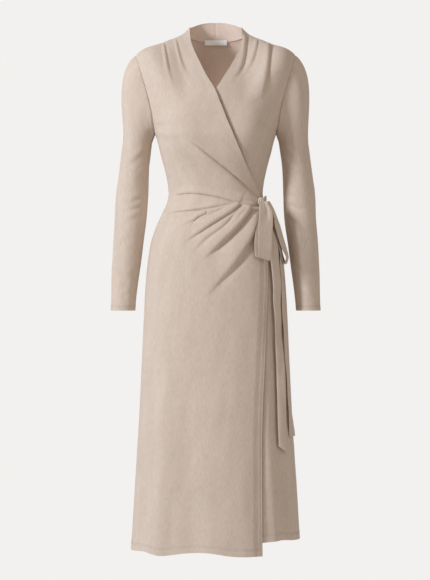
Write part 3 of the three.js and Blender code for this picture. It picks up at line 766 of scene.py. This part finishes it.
def line_at(place, outwards, edge, distance, skip=(0, 0), closed=False):
    """Line of places at a distance from one edge of a grid, with the outward directions there."""
    grid, ways = place, normals_of(place, outwards, closed)
    away = edge_distances(place)[edge]
    if edge in ("top", "bottom"):
        away, grid, ways = away.T, grid.transpose(1, 0, 2), ways.transpose(1, 0, 2)
    line, up = [], []
    for row in range(skip[0], len(grid) - skip[1]):
        order = np.argsort(away[row])
        line.append(between(distance, away[row][order], grid[row][order]))
        up.append(between(distance, away[row][order], ways[row][order]))
    line, up = np.array(line), np.array(up)
    if closed:
        line, up = np.vstack([line, line[:1]]), np.vstack([up, up[:1]])
    return line, up


# Fronts, skirts and back

# Lengths of a bodice piece down to the armpit and from there to the waist
BODICE_UPPER = 235.0
BODICE_LOWER = 195.0


def pit_share(side, bottom, across):
    return float((top_z(side, across) - ARMPIT_Z) / (top_z(side, across) - bottom(across)))


def bodice_rows(side, bottom, step, pits):
    """Shares of the way down, with a row at the armpit of each side seam in the piece."""
    at = [pit_share(side, bottom, across) for across in pits]
    upper = shares(BODICE_UPPER, STEP)
    lower = shares(BODICE_LOWER, step)
    rows = np.concatenate([upper[:-4] * at[0], [at[0]], mix(at[0], 1.0, lower[4:])])
    for share in at[1:]:
        rows[np.argmin(np.abs(rows - share))] = share
    return np.array(rows)


def left_side(z):
    return -side_at(z)


# Broad rises of the cloth: to both sides of the chest's middle, and where the skirt is gathered
BUST = {"height": 11.0, "x": 84.0, "z": -222.0, "wide": 38.0, "tall": 62.0}
GATHERS = {"height": 3.2, "x": 30.0, "z": -412.0, "wide": 75.0, "tall": 62.0}


def swell(shape, x, z):
    across, up = (x - shape["x"]) / shape["wide"], (z - shape["z"]) / shape["tall"]
    return shape["height"] * bell(np.hypot(across, up))


def falls_of(piece):
    """Hanging folds of a skirt piece, which end at its side seams."""
    gap = half_at(-piece["z"]) - np.abs(piece["x"])
    return fall_height(piece["side"], piece["turn"], piece["z"]) * ease(gap / 12)


def overlap_lift(piece):
    """Lift of the overlap over the underlap, with its gathers and folds."""
    x, z = piece["x"], piece["z"]
    layer = ease((x - piece["from"]) / 12) * ease((-60 - z) / 50)
    folds = swell(GATHERS, x, z) + sum_of(FOLDS, piece)
    folds = np.maximum(folds, -FOLD_FLOOR + 0.25 * np.minimum(folds + FOLD_FLOOR, 0))
    inner = mix(1.15, 1.0, ease((piece["to"] - x) / 16))
    falls = fall_height(-1, piece["turn"], z) * ease((x - piece["from"]) / 25)
    return layer * (OVERLAP_LIFT * inner + folds) + falls


def seen_share(piece):
    """1 where the underlap shows, and 0 where the overlap hides it."""
    return 1 - ease((overlap_edge_at(-piece["z"]) + 14 - piece["x"]) / 12)


def under_edge(piece):
    """1 under the overlap's edge, fading out just past it."""
    return 1 - ease((piece["x"] - overlap_edge_at(-piece["z"]) - 0.5) / 4.0)


def overlap_side(z):
    return overlap_edge_at(-z)


def front_top(x):
    return top_z(-1, x)


overlap_top = panel(
    -1, bodice_rows(-1, waist_at, FINE_STEP, (-PIT_X,)), shares(330, FINE_STEP), front_top, waist_at,
    left_side, overlap_side, (-180, -60), through=-NECK_X,
)
away = overlap_top["away"]
lift = overlap_lift(overlap_top) + sum_of(PLEATS + BUST_FOLDS, overlap_top)
lift = lift + swell(BUST, np.abs(overlap_top["x"]), overlap_top["z"])
lift = rolled(lift, overlap_top, {"left": 1, "bottom": 2})
lift = lift + seam_roll(away["top"], overlap_top["x"], 3) * ease((-NECK_X - overlap_top["x"]) / 6)
lift = lift + slack(overlap_top, 11) * calm_at(away, top=30, left=20)
overlap_top_place = seated(overlap_top, lift, PINCH)

# Shares of the way down the skirt at which its gathers end and the close rows of the hems begin
GATHERED = 0.29
SKIRT_HEM = 0.94
CALM_HEM = 0.962

# Lengths over which the rows of the overlap's skirt and of the calmer pieces are spaced
SKIRT_DOWN = 800.0
CALM_DOWN = 790.0
skirt_rows = np.concatenate([
    SEAM_ROWS / SKIRT_DOWN, np.linspace(FREE_ROW / SKIRT_DOWN, GATHERED, 128)[:-1],
    np.linspace(GATHERED, SKIRT_HEM, 72)[:-1], np.linspace(SKIRT_HEM, 1.0, 22),
])
overlap_low = panel(
    -1, skirt_rows, shares(360, SKIRT_STEP), waist_at, overlap_hem_at, left_side, overlap_side, (-126, 100),
)
away = overlap_low["away"]
lift = rolled(overlap_lift(overlap_low), overlap_low, {"left": 4, "top": 5})
lift = lift + slack(overlap_low, 12) * calm_at(away, left=20)
band = np.clip(1 - away["right"] / EDGE_BAND, 0, 1)
lift = hemmed(lift - EDGE_TILT * band * ease((away["top"] - 60) / 90), away)
for at in EDGE_LINES:
    lift = lift + groove(away["right"], at, 0.5, 1.4) * calm_at(away, top=40)
overlap_low_place = seated(overlap_low, lift, PINCH)

under_top = panel(
    -1, bodice_rows(-1, waist_at, STEP, (PIT_X,)), shares(300, STEP), front_top, waist_at,
    lambda z: underlap_edge_at(-z), side_at, (60, 180), through=NECK_X,
)
away = under_top["away"]
seen = np.where(under_top["z"] > CROSS_Z, 1.0, seen_share(under_top))
lift = seen * (
    sum_of(PLEATS + BUST_FOLDS, under_top) + slack(under_top, 13) * calm_at(away, top=30, right=20)
)
lift = lift + swell(BUST, np.abs(under_top["x"]), under_top["z"])
sunk = under_edge(under_top) * ease((CROSS_Z - under_top["z"]) / 25) * calm_at(away, bottom=30)
lift = rolled(lift - EDGE_SINK * sunk, under_top, {"right": 6, "bottom": 7})
lift = lift + seam_roll(away["top"], under_top["x"], 8) * ease((under_top["x"] - NECK_X) / 6)
under_top_place = seated(under_top, lift, PINCH)

calm_rows = shares(CALM_DOWN, CALM_STEP)[:-4]
calm_rows = np.concatenate([calm_rows, np.linspace(1 - FREE_ROW / CALM_DOWN, 1.0, 5)[1:]])
calm_rows = np.unique(np.concatenate([calm_rows, np.linspace(CALM_HEM, 1.0, 20)]))
under_low = panel(
    -1, calm_rows, shares(330, STEP), waist_at, underlap_hem_at,
    lambda z: np.full(np.shape(z), UNDERLAP_SKIRT_X), side_at, (-92, 122),
)
away = under_low["away"]
lift = seen_share(under_low) * (falls_of(under_low) + slack(under_low, 14) * calm_at(away, right=20))
lift = lift - EDGE_SINK * under_edge(under_low) * ease((away["top"] - 30) / 40)
lift = hemmed(rolled(lift, under_low, {"right": 9, "top": 10}), away)
under_low_place = seated(under_low, lift)

back_top = panel(
    1, bodice_rows(1, back_waist_at, BACK_STEP, (-PIT_X, PIT_X)), shares(400, STEP),
    lambda x: top_z(1, x), back_waist_at, left_side, side_at, (-180, 180),
)
calm = calm_at(back_top["away"], left=20, right=20, top=30)
lift = (sum_of(BACK_FOLDS, back_top) + slack(back_top, 15)) * calm
back_top_place = seated(back_top, rolled(lift, back_top, {"left": 1, "right": 6, "top": 3, "bottom": 16}))

back_low = panel(
    1, calm_rows, shares(470, STEP), back_waist_at, back_hem_at, left_side, side_at, (-126, 126),
)
calm = calm_at(back_low["away"], left=20, right=20)
lift = (sum_of(BACK_FOLDS, back_low) + slack(back_low, 17)) * calm + falls_of(back_low)
lift = hemmed(rolled(lift, back_low, {"left": 4, "right": 9, "top": 18}), back_low["away"])
back_low_place = seated(back_low, lift)


# Collar stands, which run on from the fronts round the back of the neck
def collar_place(sign, top_row):
    """Rows from the shoulder to the centre back, on the same columns as the front's top row."""
    first = top_row[np.abs(top_row[:, 0]) <= NECK_X + 0.25]
    up = np.clip((NECK_X - np.abs(first[:, 0])) / (NECK_X - COLLAR_X), 0, 1)[None, :]
    angle = np.radians(90.0) * (np.linspace(0, 1, 44) ** 1.15)[:, None]
    wide = signed_power(np.cos(angle), 2 / ROUNDNESS)
    wide[-1] = 0
    deep = signed_power(np.sin(angle), 2 / ROUNDNESS)

    def ring(half, back_y, back_z, side_z, power):
        height = mix(back_z, side_z, wide**power)
        return np.stack([sign * half * wide, mix(RIDGE_Y, back_y, deep), height], -1)

    low = ring(NECK_X, NECK_BACK_Y, NECK_BACK_Z, NECK_Z, 2)
    high = ring(COLLAR_X, COLLAR_BACK_Y, COLLAR_BACK_Z, COLLAR_Z, COLLAR_CURVE)
    line = mix(low, high, up[..., None])
    settle = (1 - ease(angle / 0.6))[..., None]
    return line + (first[None] - line[:1]) * settle


collar_right_place = collar_place(-1, overlap_top_place[0])
collar_left_place = collar_place(1, under_top_place[0])
for place, seam in ((collar_right_place, "left"), (collar_left_place, "right")):
    near_back = ease((place[..., 1] - RIDGE_Y - 4) / 14)
    place[..., 2] += near_back * seam_roll(edge_distances(place)[seam], place[..., 0], 20)
    place[..., 1] += near_back * COLLAR_SEAM * (1 - ease(np.abs(place[..., 0]) / 2.4))

front_overlap = cloth("front_overlap", [(overlap_top_place, -1), (collar_right_place, 1)])
front_underlap = cloth("front_underlap", [(under_top_place, -1), (collar_left_place, 1)])
skirt_overlap = cloth("skirt_overlap", [(overlap_low_place, -1)])
skirt_underlap = cloth("skirt_underlap", [(under_low_place, -1)])
bodice_back = cloth("bodice_back", [(back_top_place, 1)])
skirt_back = cloth("skirt_back", [(back_low_place, 1)])

# Sleeve rings: drop, centre across and forwards, half width and half depth
SLEEVE = [
    (240, 188, 2, 34.8, 43), (300, 195.2, 5, 35.4, 42), (362, 200.6, 7, 38.2, 41), (420, 204, 6, 37.4, 39),
    (480, 209.6, 2, 35, 37), (545, 215, -5, 32.8, 34), (600, 219, -10, 29.8, 31),
    (637, 221.5, -13, 28.4, 29.5),
]
SLEEVE_TOP = 240.0
CUFF = 637.0
CUFF_ROWS = 18.0

# Sleeve wrinkles: drop and turn in degrees of both ends, width, depth of the trough, height of the ridge
SLEEVE_FOLDS = [
    (252, 150, 300, 60, 7, 1.5, 1.6), (274, 190, 330, 100, 7, 1.1, 1.3), (246, 215, 300, 290, 7, 1.3, 1.5),
    (356, 150, 386, 70, 6, 1.5, 1.6), (380, 165, 404, 60, 6, 1.7, 1.8), (404, 160, 432, 84, 6, 1.2, 1.4),
    (366, 195, 398, 280, 6, 1.1, 1.3), (392, 200, 420, 262, 6, 1.2, 1.4), (456, 120, 500, 30, 8, 0.8, 1.0),
    (520, 170, 560, 80, 7, 0.9, 1.1), (560, 200, 592, 290, 6, 0.8, 1.0), (590, 130, 612, 60, 5, 0.8, 0.9),
    (300, -40, 350, 30, 9, 0.6, 0.9), (470, 230, 520, 300, 8, 0.7, 0.9),
]

# Places round a sleeve, millimetres of its cloth for a degree of turn, and depth of its seam under the arm
AROUND = 88
ARC = 0.65
UNDER_SEAM = 0.7


def armhole_line(side, sign):
    z = np.linspace(-ARMHOLE[0][0], ARMPIT_Z, AROUND // 2 + 1)
    points = form_point(side, sign * armhole_at(-z), z)
    run = run_along(points)
    even = np.linspace(0, run[-1], AROUND // 2 + 1)
    level = np.interp(even, run, z)
    return form_point(side, sign * armhole_at(-level), level)


def sleeve_place(sign):
    front, back = armhole_line(-1, sign), armhole_line(1, sign)
    loop = np.vstack([front, back[1:-1][::-1]])
    angle = turns(AROUND)
    low = (1 - np.cos(angle)) / 2

    def ring(drop):
        x, y, wide, deep = [curve(SLEEVE, i)(drop) for i in (1, 2, 3, 4)]
        return np.stack([
            sign * (x + wide * np.cos(angle)), y - deep * np.sin(angle), np.full(AROUND, -float(drop)),
        ], -1)

    target = ring(SLEEVE_TOP)
    reach = np.linalg.norm(target - loop, axis=1)[:, None]
    lean = np.radians(mix(52.0, 6.0, low))
    leave = np.stack([sign * np.sin(lean), 0 * lean, -np.cos(lean)], -1) * reach * 0.95
    arrive = np.array([sign * 0.09, 0, -1]) * reach * 0.9
    rows = []
    for t in np.concatenate([[0, 0.008, 0.018, 0.03], np.linspace(0.045, 1, 56)])[:-1]:
        rows.append(hermite(loop, target, leave, arrive, t))
    arm = np.linspace(SLEEVE_TOP, CUFF - CUFF_ROWS, 118)[:-1]
    for drop in np.concatenate([arm, np.linspace(CUFF - CUFF_ROWS, CUFF, 17)]):
        rows.append(ring(drop))
    return np.array(rows)


def sleeve_lift(place, seed):
    drop = -place[..., 2]
    along = np.degrees(turns(AROUND))[None, :]
    degrees = along + 0 * drop
    total = np.zeros(drop.shape)
    for k, (drop0, turn0, drop1, turn1, width, depth, ridge) in enumerate(SLEEVE_FOLDS):
        jitter = 9.0 * math.sin(seed * 3.1 + k * 2.3)
        span = np.array([drop1 - drop0, (turn1 - turn0) * ARC])
        off_turn = (degrees - turn0 - jitter + 180) % 360 - 180
        off = np.stack([drop - drop0 - 0.4 * jitter, off_turn * ARC], -1)
        t = np.clip(off @ span / span.dot(span), 0, 1)
        across = (off[..., 0] * span[1] - off[..., 1] * span[0]) / np.linalg.norm(span)
        beyond = np.linalg.norm(off - t[..., None] * span, axis=2) ** 2 - np.square(across)
        ends = ease(t / 0.3) * ease((1 - t) / 0.4) * bell(np.sqrt(np.maximum(beyond, 0)) / width)
        crest = ridge * bell((across - 1.6 * width) / (1.5 * width))
        total += ends * (crest - depth * bell(across / width))
    away_top = lengths(place, 0)
    away_cuff = away_top[-1:, :] - away_top
    total = total * ease(away_top / 25) * ease((away_cuff - 16) / 20)
    loose = noise(np.cos(np.radians(along)) * 2.2 + 5, drop / 70.0 + np.sin(np.radians(along)) * 1.6, seed)
    total = total + loose * ease(away_top / 30) * ease(away_cuff / 30)
    total = total - UNDER_SEAM * bell((along - 180.0) * 0.62 / 1.6)
    total = total + seam_roll(away_top, away_top * 0 + along * 2.0, seed + 30)
    total = total + CUFF_RISE * (1 - ease((away_cuff - CUFF_BAND) / 2))
    for at in CUFF_LINES:
        total = total + groove(away_cuff, at)
    return total


sleeves, cuff_rows = {}, []
for sign, name, seed in ((-1, "sleeve_right_cloth", 2), (1, "sleeve_left_cloth", 5)):
    place = sleeve_place(sign)
    place = place + normals_of(place, sign, True) * sleeve_lift(place, seed)[..., None]
    sleeves[sign] = cloth(name, [(place, sign)], closed=True)
    for at in CUFF_LINES:
        cuff_rows.append(line_at(place, sign, "bottom", at, closed=True))


# Ties
def wound(name, grid, uv, angle):
    """A closed piece of cloth from rings of places."""
    piece = make_object(name, grid.reshape(-1, 3), tube_faces(*grid.shape[:2]), [jersey])
    set_uv(piece.data, uv)
    face_outwards(piece.data)
    smooth(piece.data, angle)
    return piece


# Half of a tie's width on its flat cloth, in metres
STRAP_UV = 0.014


def strap(name, rows, steps, upright=False, cup=0.0, wave=0.6, slant=0.0, turn_at=0.6, turn_tilt=0.0,
          seed=1, crease=()):
    """A pressed double band of cloth along rows of centre, lean and width, closed at both ends."""
    rows = np.array(rows, float)
    share = np.linspace(0, 1, len(rows))
    at = np.linspace(0, 1, steps)
    centre = smooth_line(rows[:, :3], steps, 0.5, 1.0)
    lean = np.radians(curve(np.stack([share, rows[:, 3]], 1))(at))
    wide = curve(np.stack([share, rows[:, 4]], 1))(at)
    level = np.stack([np.cos(lean), np.sin(lean), 0 * lean], -1)
    across = np.tile([0.0, 0.0, 1.0], (steps, 1)) if upright else level
    along = unit(np.gradient(centre, axis=0))
    across = across + np.array([0, 0, 1.0]) * (turn_tilt * bell((at - turn_at) / 0.1))[:, None]
    square = unit(np.cross(along, across))
    run = run_along(centre)
    half = np.linspace(-1, 1, 17)
    half = np.sign(half) * (1 - (1 - np.abs(half)) ** 1.6)
    thick = TIE_CLOTH / 2 * (1 - np.abs(half) ** 7) ** 0.5
    below = np.stack([half, -thick], 1)[-2:0:-1]
    section = np.concatenate([np.stack([half, thick], 1), below])
    places = []
    for j in range(steps):
        u = section[:, 0]
        ends = ease(at[j] / 0.08) * ease((1 - at[j]) / 0.04)
        bend = cup * (1 - u**2) + ends * wave * noise(u * 1.1 + 4, np.full(u.shape, run[j] / 38.0), seed)
        for place_u, depth, start, stop in crease:
            strength = ease((at[j] - start) / 0.06) * ease((stop - at[j]) / 0.12)
            bend = bend - depth * strength * bell((u - place_u) / 0.16)
        edge_line = -0.25 * bell((np.abs(u) - 0.86) / 0.05) * np.sign(section[:, 1])
        shift = slant * u * ease((at[j] - 0.93) / 0.07)
        places.append(
            centre[j] + across[j] * (u * wide[j] / 2)[:, None]
            + square[j] * (bend + section[:, 1] + edge_line)[:, None] + along[j] * shift[:, None]
        )
    uv = np.stack([np.tile(section[:, 0] * STRAP_UV, steps), -np.repeat(run, len(section)) * MM], -1)
    return wound(name, np.array(places), uv, 50)


# Rows of each tie: centre across, forwards and up, lean of its width in degrees, and width
LOOP_FRONT = [
    (111.8, -71.5, -379.5, 25, 13), (113.2, -78.5, -386, 25, 22), (116.6, -83.5, -397, 25, 30),
    (117.6, -89.5, -411, 25, 35.5), (116.8, -97, -432, 25, 38), (115.4, -104, -455, 24.5, 37.5),
    (114.2, -110.5, -496, 24, 35), (112.2, -109.5, -513, 24, 32.5), (108.6, -104, -515, 24, 32.5),
    (106.4, -100, -500, 24, 34), (107, -95, -470, 24, 35), (109.5, -83, -426, 25, 31),
    (111, -70.5, -390, 25, 18),
]
LOOP_BACK = [
    (124, -58, -379, 56, 12), (128.4, -57, -386, 62, 17), (134.5, -55.5, -399, 68, 21),
    (141, -53.5, -416, 72, 24), (145.7, -56, -436, 58, 26), (154.7, -56, -467, 58, 26),
    (162.5, -53, -490, 62, 26), (169.5, -50, -512, 74, 26), (164.5, -51, -525, 74, 25),
    (159, -52, -514, 74, 24), (153, -53, -490, 74, 24), (146, -53.5, -458, 72, 22),
    (138, -54, -430, 70, 20), (130, -54.5, -402, 66, 16), (124, -56, -388, 60, 12),
]
TAIL_LONG = [
    (115, -63, -389, 32, 13), (119.6, -65, -412, 33, 17), (125, -67, -438, 34, 20),
    (132, -68.5, -459, 34, 22), (136.5, -71.5, -482, 34, 23), (138.8, -74.5, -521, 32, 24),
    (143.8, -75.5, -575, 34, 24), (144.3, -76.5, -614, 42, 24), (146.2, -78, -656, 46, 24),
    (148, -80, -705, 44, 24), (152.3, -81.5, -776, 30, 24), (154.3, -84.5, -842, 30, 24),
    (155, -87, -889, 34, 24), (158.6, -88.5, -962, 28, 24),
]
TAIL_SHORT = [
    (117, -53, -387, 50, 11), (124, -47, -403, 56, 15), (135, -42, -422, 62, 19),
    (147, -44.5, -457, 66, 22), (154, -49.5, -493, 72, 23), (156.2, -54.1, -526, 73, 24),
    (158.9, -58.6, -588, 73, 24), (160, -59.8, -628, 73, 24), (162.6, -61.3, -683, 73, 24),
    (166.8, -60.2, -740, 73, 24), (171.2, -58.4, -796, 72, 24), (175, -57.2, -853, 71, 24),
    (178.4, -54.8, -901, 64, 24), (181, -52, -934, 52, 24),
]
STUB_FRONT = [(91, -55.5, -382, 0, 22), (98, -56.5, -381, 0, 20), (105, -59.5, -379, 0, 14)]
STUB_SIDE = [
    (120.5, 3, -374, 0, 22), (120.5, -12, -374, 0, 22), (119, -29, -374, 0, 21),
    (114.5, -51, -374.5, 0, 14),
]

# Each crease: place across, depth, and the shares of the length where it starts and stops
loop_front = strap(
    "bow_front_cloth", LOOP_FRONT, 150, cup=-1.2, wave=0.9, turn_at=0.6, turn_tilt=-0.36, seed=3,
    crease=[(0.25, 2.0, 0.0, 0.34), (-0.35, 1.2, 0.0, 0.2), (0.1, 1.6, 0.72, 1.0)])
loop_back = strap("bow_back_cloth", LOOP_BACK, 130, cup=0.8, wave=0.9, seed=7,
                  crease=[(0.2, 1.6, 0.0, 0.3), (-0.2, 1.6, 0.7, 1.0)])
tail_long = strap("long_tail_cloth", TAIL_LONG, 170, cup=1.1, wave=1.3, slant=9, seed=11,
                  crease=[(0.15, 1.6, 0.0, 0.22)])
tail_short = strap("short_tail_cloth", TAIL_SHORT, 160, cup=0.9, wave=1.3, slant=-1, seed=13,
                   crease=[(-0.1, 1.6, 0.0, 0.22)])
stub_front = strap("wrap_tie_cloth", STUB_FRONT, 24, upright=True, wave=0.4, seed=17,
                   crease=[(0.3, 1.2, 0.1, 1.0), (-0.35, 1.0, 0.2, 1.0)])
stub_side = strap("side_tie_cloth", STUB_SIDE, 36, upright=True, wave=0.5, seed=19,
                  crease=[(0.2, 1.0, 0.5, 1.0)])

# Knot: a firm wrap with the folds of the band round it
KNOT = {"x": 106.0, "y": -62.0, "z": -381.5, "wide": 10.5, "deep": 10.0, "tall": 12.5}


def knot_piece():
    rows, columns = 44, 64
    tilt = np.linspace(0.02, math.pi - 0.02, rows)[:, None]
    turn = turns(columns)[None, :]
    x, y, z = np.sin(tilt) * np.cos(turn), np.sin(tilt) * np.sin(turn), np.cos(tilt) + 0 * turn
    lean = x + 0.28 * z
    ribs = sum(depth * bell((lean - at) / width) for at, depth, width in (
        (-0.62, 0.18, 0.11), (-0.12, 0.26, 0.11), (0.38, 0.22, 0.11)))
    band = 0.07 * bell((z - 0.15 + 0.2 * x) / 0.32)
    size = 1 - ribs * np.sin(tilt) + band - 0.12 * bell((z - 0.62 + 0.2 * x) / 0.08) * np.sin(tilt)
    middle = np.array([KNOT["x"], KNOT["y"], KNOT["z"]])
    reach = np.array([KNOT["wide"], KNOT["deep"], KNOT["tall"]])
    place = middle + np.stack([x * size, y * size, z * size], -1) * reach
    uv = np.stack([turn * 0.012 + 0 * tilt, -tilt * 0.016 + 0 * turn], -1)
    return wound("knot_cloth", place, uv.reshape(-1, 2), 70)


knot = knot_piece()

# Bare label inside the back of the neck, sewn down at its ends
LABEL = {"half": 27.0, "top": 21.5, "bottom": 9.0, "wall": 0.7, "inset": 1.9, "bulge": 0.35}
label_x = np.linspace(-LABEL["half"], LABEL["half"], 41)[None, :]
label_z = np.linspace(LABEL["top"], LABEL["bottom"], 15)[:, None]
label_middle = (LABEL["top"] + LABEL["bottom"]) / 2
label_rise = (label_z - label_middle) / (LABEL["top"] - label_middle)
label_bulge = LABEL["bulge"] * np.cos(label_x / LABEL["half"] * math.pi / 2) * np.cos(1.2 * label_rise)
label_y = top_y(1, label_x) - LABEL["inset"] - label_bulge
label_place = np.stack([label_x + 0 * label_z, label_y + 0 * label_z, label_z + 0 * label_x], -1)
label = make_object(
    "label_cloth", label_place.reshape(-1, 3), grid_faces(*label_place.shape[:2], False, False), [tape])
thicken(label, LABEL["wall"], False)

# Rows of stitches: hems, cuffs and the overlap's edge
hem_rows = []
for place, side in ((overlap_low_place, -1), (under_low_place, -1), (back_low_place, 1)):
    for at in HEM_LINES:
        hem_rows.append(line_at(place, side, "bottom", at, (2, 2)))
hem_stitches = stitches("hem_stitches", hem_rows)
cuff_stitches = stitches("cuff_stitches", cuff_rows)
edge_rows = [line_at(overlap_low_place, -1, "right", at, (12, 1)) for at in EDGE_LINES]
edge_stitches = stitches("edge_stitches", edge_rows)
label_lines = []
for x in (-LABEL["half"] + 1.6, LABEL["half"] - 1.6):
    z = np.linspace(LABEL["top"] - 1.2, LABEL["bottom"] + 1.2, 12)
    y = top_y(1, x) - LABEL["inset"] - 0.1 + 0 * z
    label_lines.append((np.stack([x + 0 * z, y, z], -1), np.tile([0.0, -1.0, 0.0], (12, 1))))
label_stitches = stitches("label_stitches", label_lines, pitch=2.2, length=1.6, radius=0.22)

# Which solid each piece stands for
REPLACED = [
    (front_overlap, ("overlap_bodice", "collar_right")),
    (front_underlap, ("underlap_bodice", "collar_left")),
    (skirt_overlap, ("overlap_skirt",)), (skirt_underlap, ("underlap_skirt",)),
    (bodice_back, ("back_bodice",)), (skirt_back, ("back_skirt",)),
    (sleeves[-1], ("sleeve_right",)), (sleeves[1], ("sleeve_left",)),
    (loop_front, ("bow_loop_front",)), (loop_back, ("bow_loop_back",)),
    (tail_long, ("tie_tail_long",)), (tail_short, ("tie_tail_short",)),
    (stub_front, ("tie_overlap",)), (stub_side, ("tie_side",)), (knot, ("tie_knot",)),
    (label, ("neck_label",)),
]
for piece, nodes in REPLACED:
    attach(piece, "root")
    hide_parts(*nodes)
for piece in (hem_stitches, cuff_stitches, edge_stitches, label_stitches):
    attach(piece, "root")

# Light, floor and camera
scene = bpy.context.scene
scene.view_settings.view_transform = "Standard"
scene.view_settings.look = "None"

world = bpy.data.worlds.new("studio")
scene.world = world
world.use_nodes = True
tree = world.node_tree
tree.nodes.clear()
out = node(tree, "ShaderNodeOutputWorld")
seen_colour = node(tree, "ShaderNodeBackground", Color=(0.888, 0.879, 0.863, 1), Strength=1.0)
fill_colour = node(tree, "ShaderNodeBackground", Color=(1.0, 0.92, 0.845, 1), Strength=0.42)
path = node(tree, "ShaderNodeLightPath")
chosen = node(tree, "ShaderNodeMixShader")
tree.links.new(path.outputs["Is Camera Ray"], chosen.inputs[0])
tree.links.new(fill_colour.outputs[0], chosen.inputs[1])
tree.links.new(seen_colour.outputs[0], chosen.inputs[2])
tree.links.new(chosen.outputs[0], out.inputs["Surface"])


def area_light(name, place, aim, size, power, colour):
    lamp = bpy.data.lights.new(name, "AREA")
    lamp.shape = "RECTANGLE"
    lamp.size, lamp.size_y = size
    lamp.energy = power
    lamp.color = colour
    holder = shown(name, lamp)
    holder.location = place
    holder.rotation_euler = (Vector(aim) - Vector(place)).to_track_quat("-Z", "Y").to_euler()
    holder.visible_camera = False


# Each lamp: its place, what it faces, size, power and colour. The glow is light that comes through thin
# cloth at the neck.
LAMPS = {
    "key": ((-2.95, -2.05, 0.85), (0, 0, -0.5), (0.5, 1.0), 112, (0.92, 1.0, 1.12)),
    "fill": ((2.6, -2.8, 0.2), (0, 0, -0.6), (1.8, 1.8), 17, (1.0, 0.95, 0.9)),
    "neck": ((-1.5, -1.9, 1.5), (0.03, 0.05, -0.04), (0.5, 0.5), 1.6, (0.98, 0.98, 1.0)),
    "rim": ((-1.6, 2.4, 0.9), (0, 0, -0.4), (1.2, 1.6), 16, (1.0, 1.0, 1.0)),
    "glow": ((0.06, -0.01, -0.16), (0.06, 0.07, -0.04), (0.05, 0.04), 0.07, (1.0, 0.92, 0.85)),
}
for name, lamp in LAMPS.items():
    area_light(name, *lamp)

FLOOR_RADIUS = 1.35
FLOOR_Z = -1.62
floor_mesh = bpy.data.meshes.new("floor")
rework(floor_mesh, lambda work: bmesh.ops.create_circle(
    work, cap_ends=True, segments=96, radius=FLOOR_RADIUS))
floor = shown("floor", floor_mesh)
floor.location = (0, 0, FLOOR_Z)
floor_mesh.materials.append(plain_material("pale_floor", (0.86, 0.855, 0.84), 0.8, 30))

lens = bpy.data.cameras.new("camera")
lens.sensor_width = 36
lens.lens = lens.sensor_width / 2 / (VIEW_HEIGHT / 2 / VIEW_DISTANCE)
camera = shown("camera", lens)
camera.location = (VIEW_X, -VIEW_DISTANCE, VIEW_Z)
camera.rotation_euler = (math.pi / 2, 0, 0)
scene.camera = camera

bpy.context.view_layer.update()
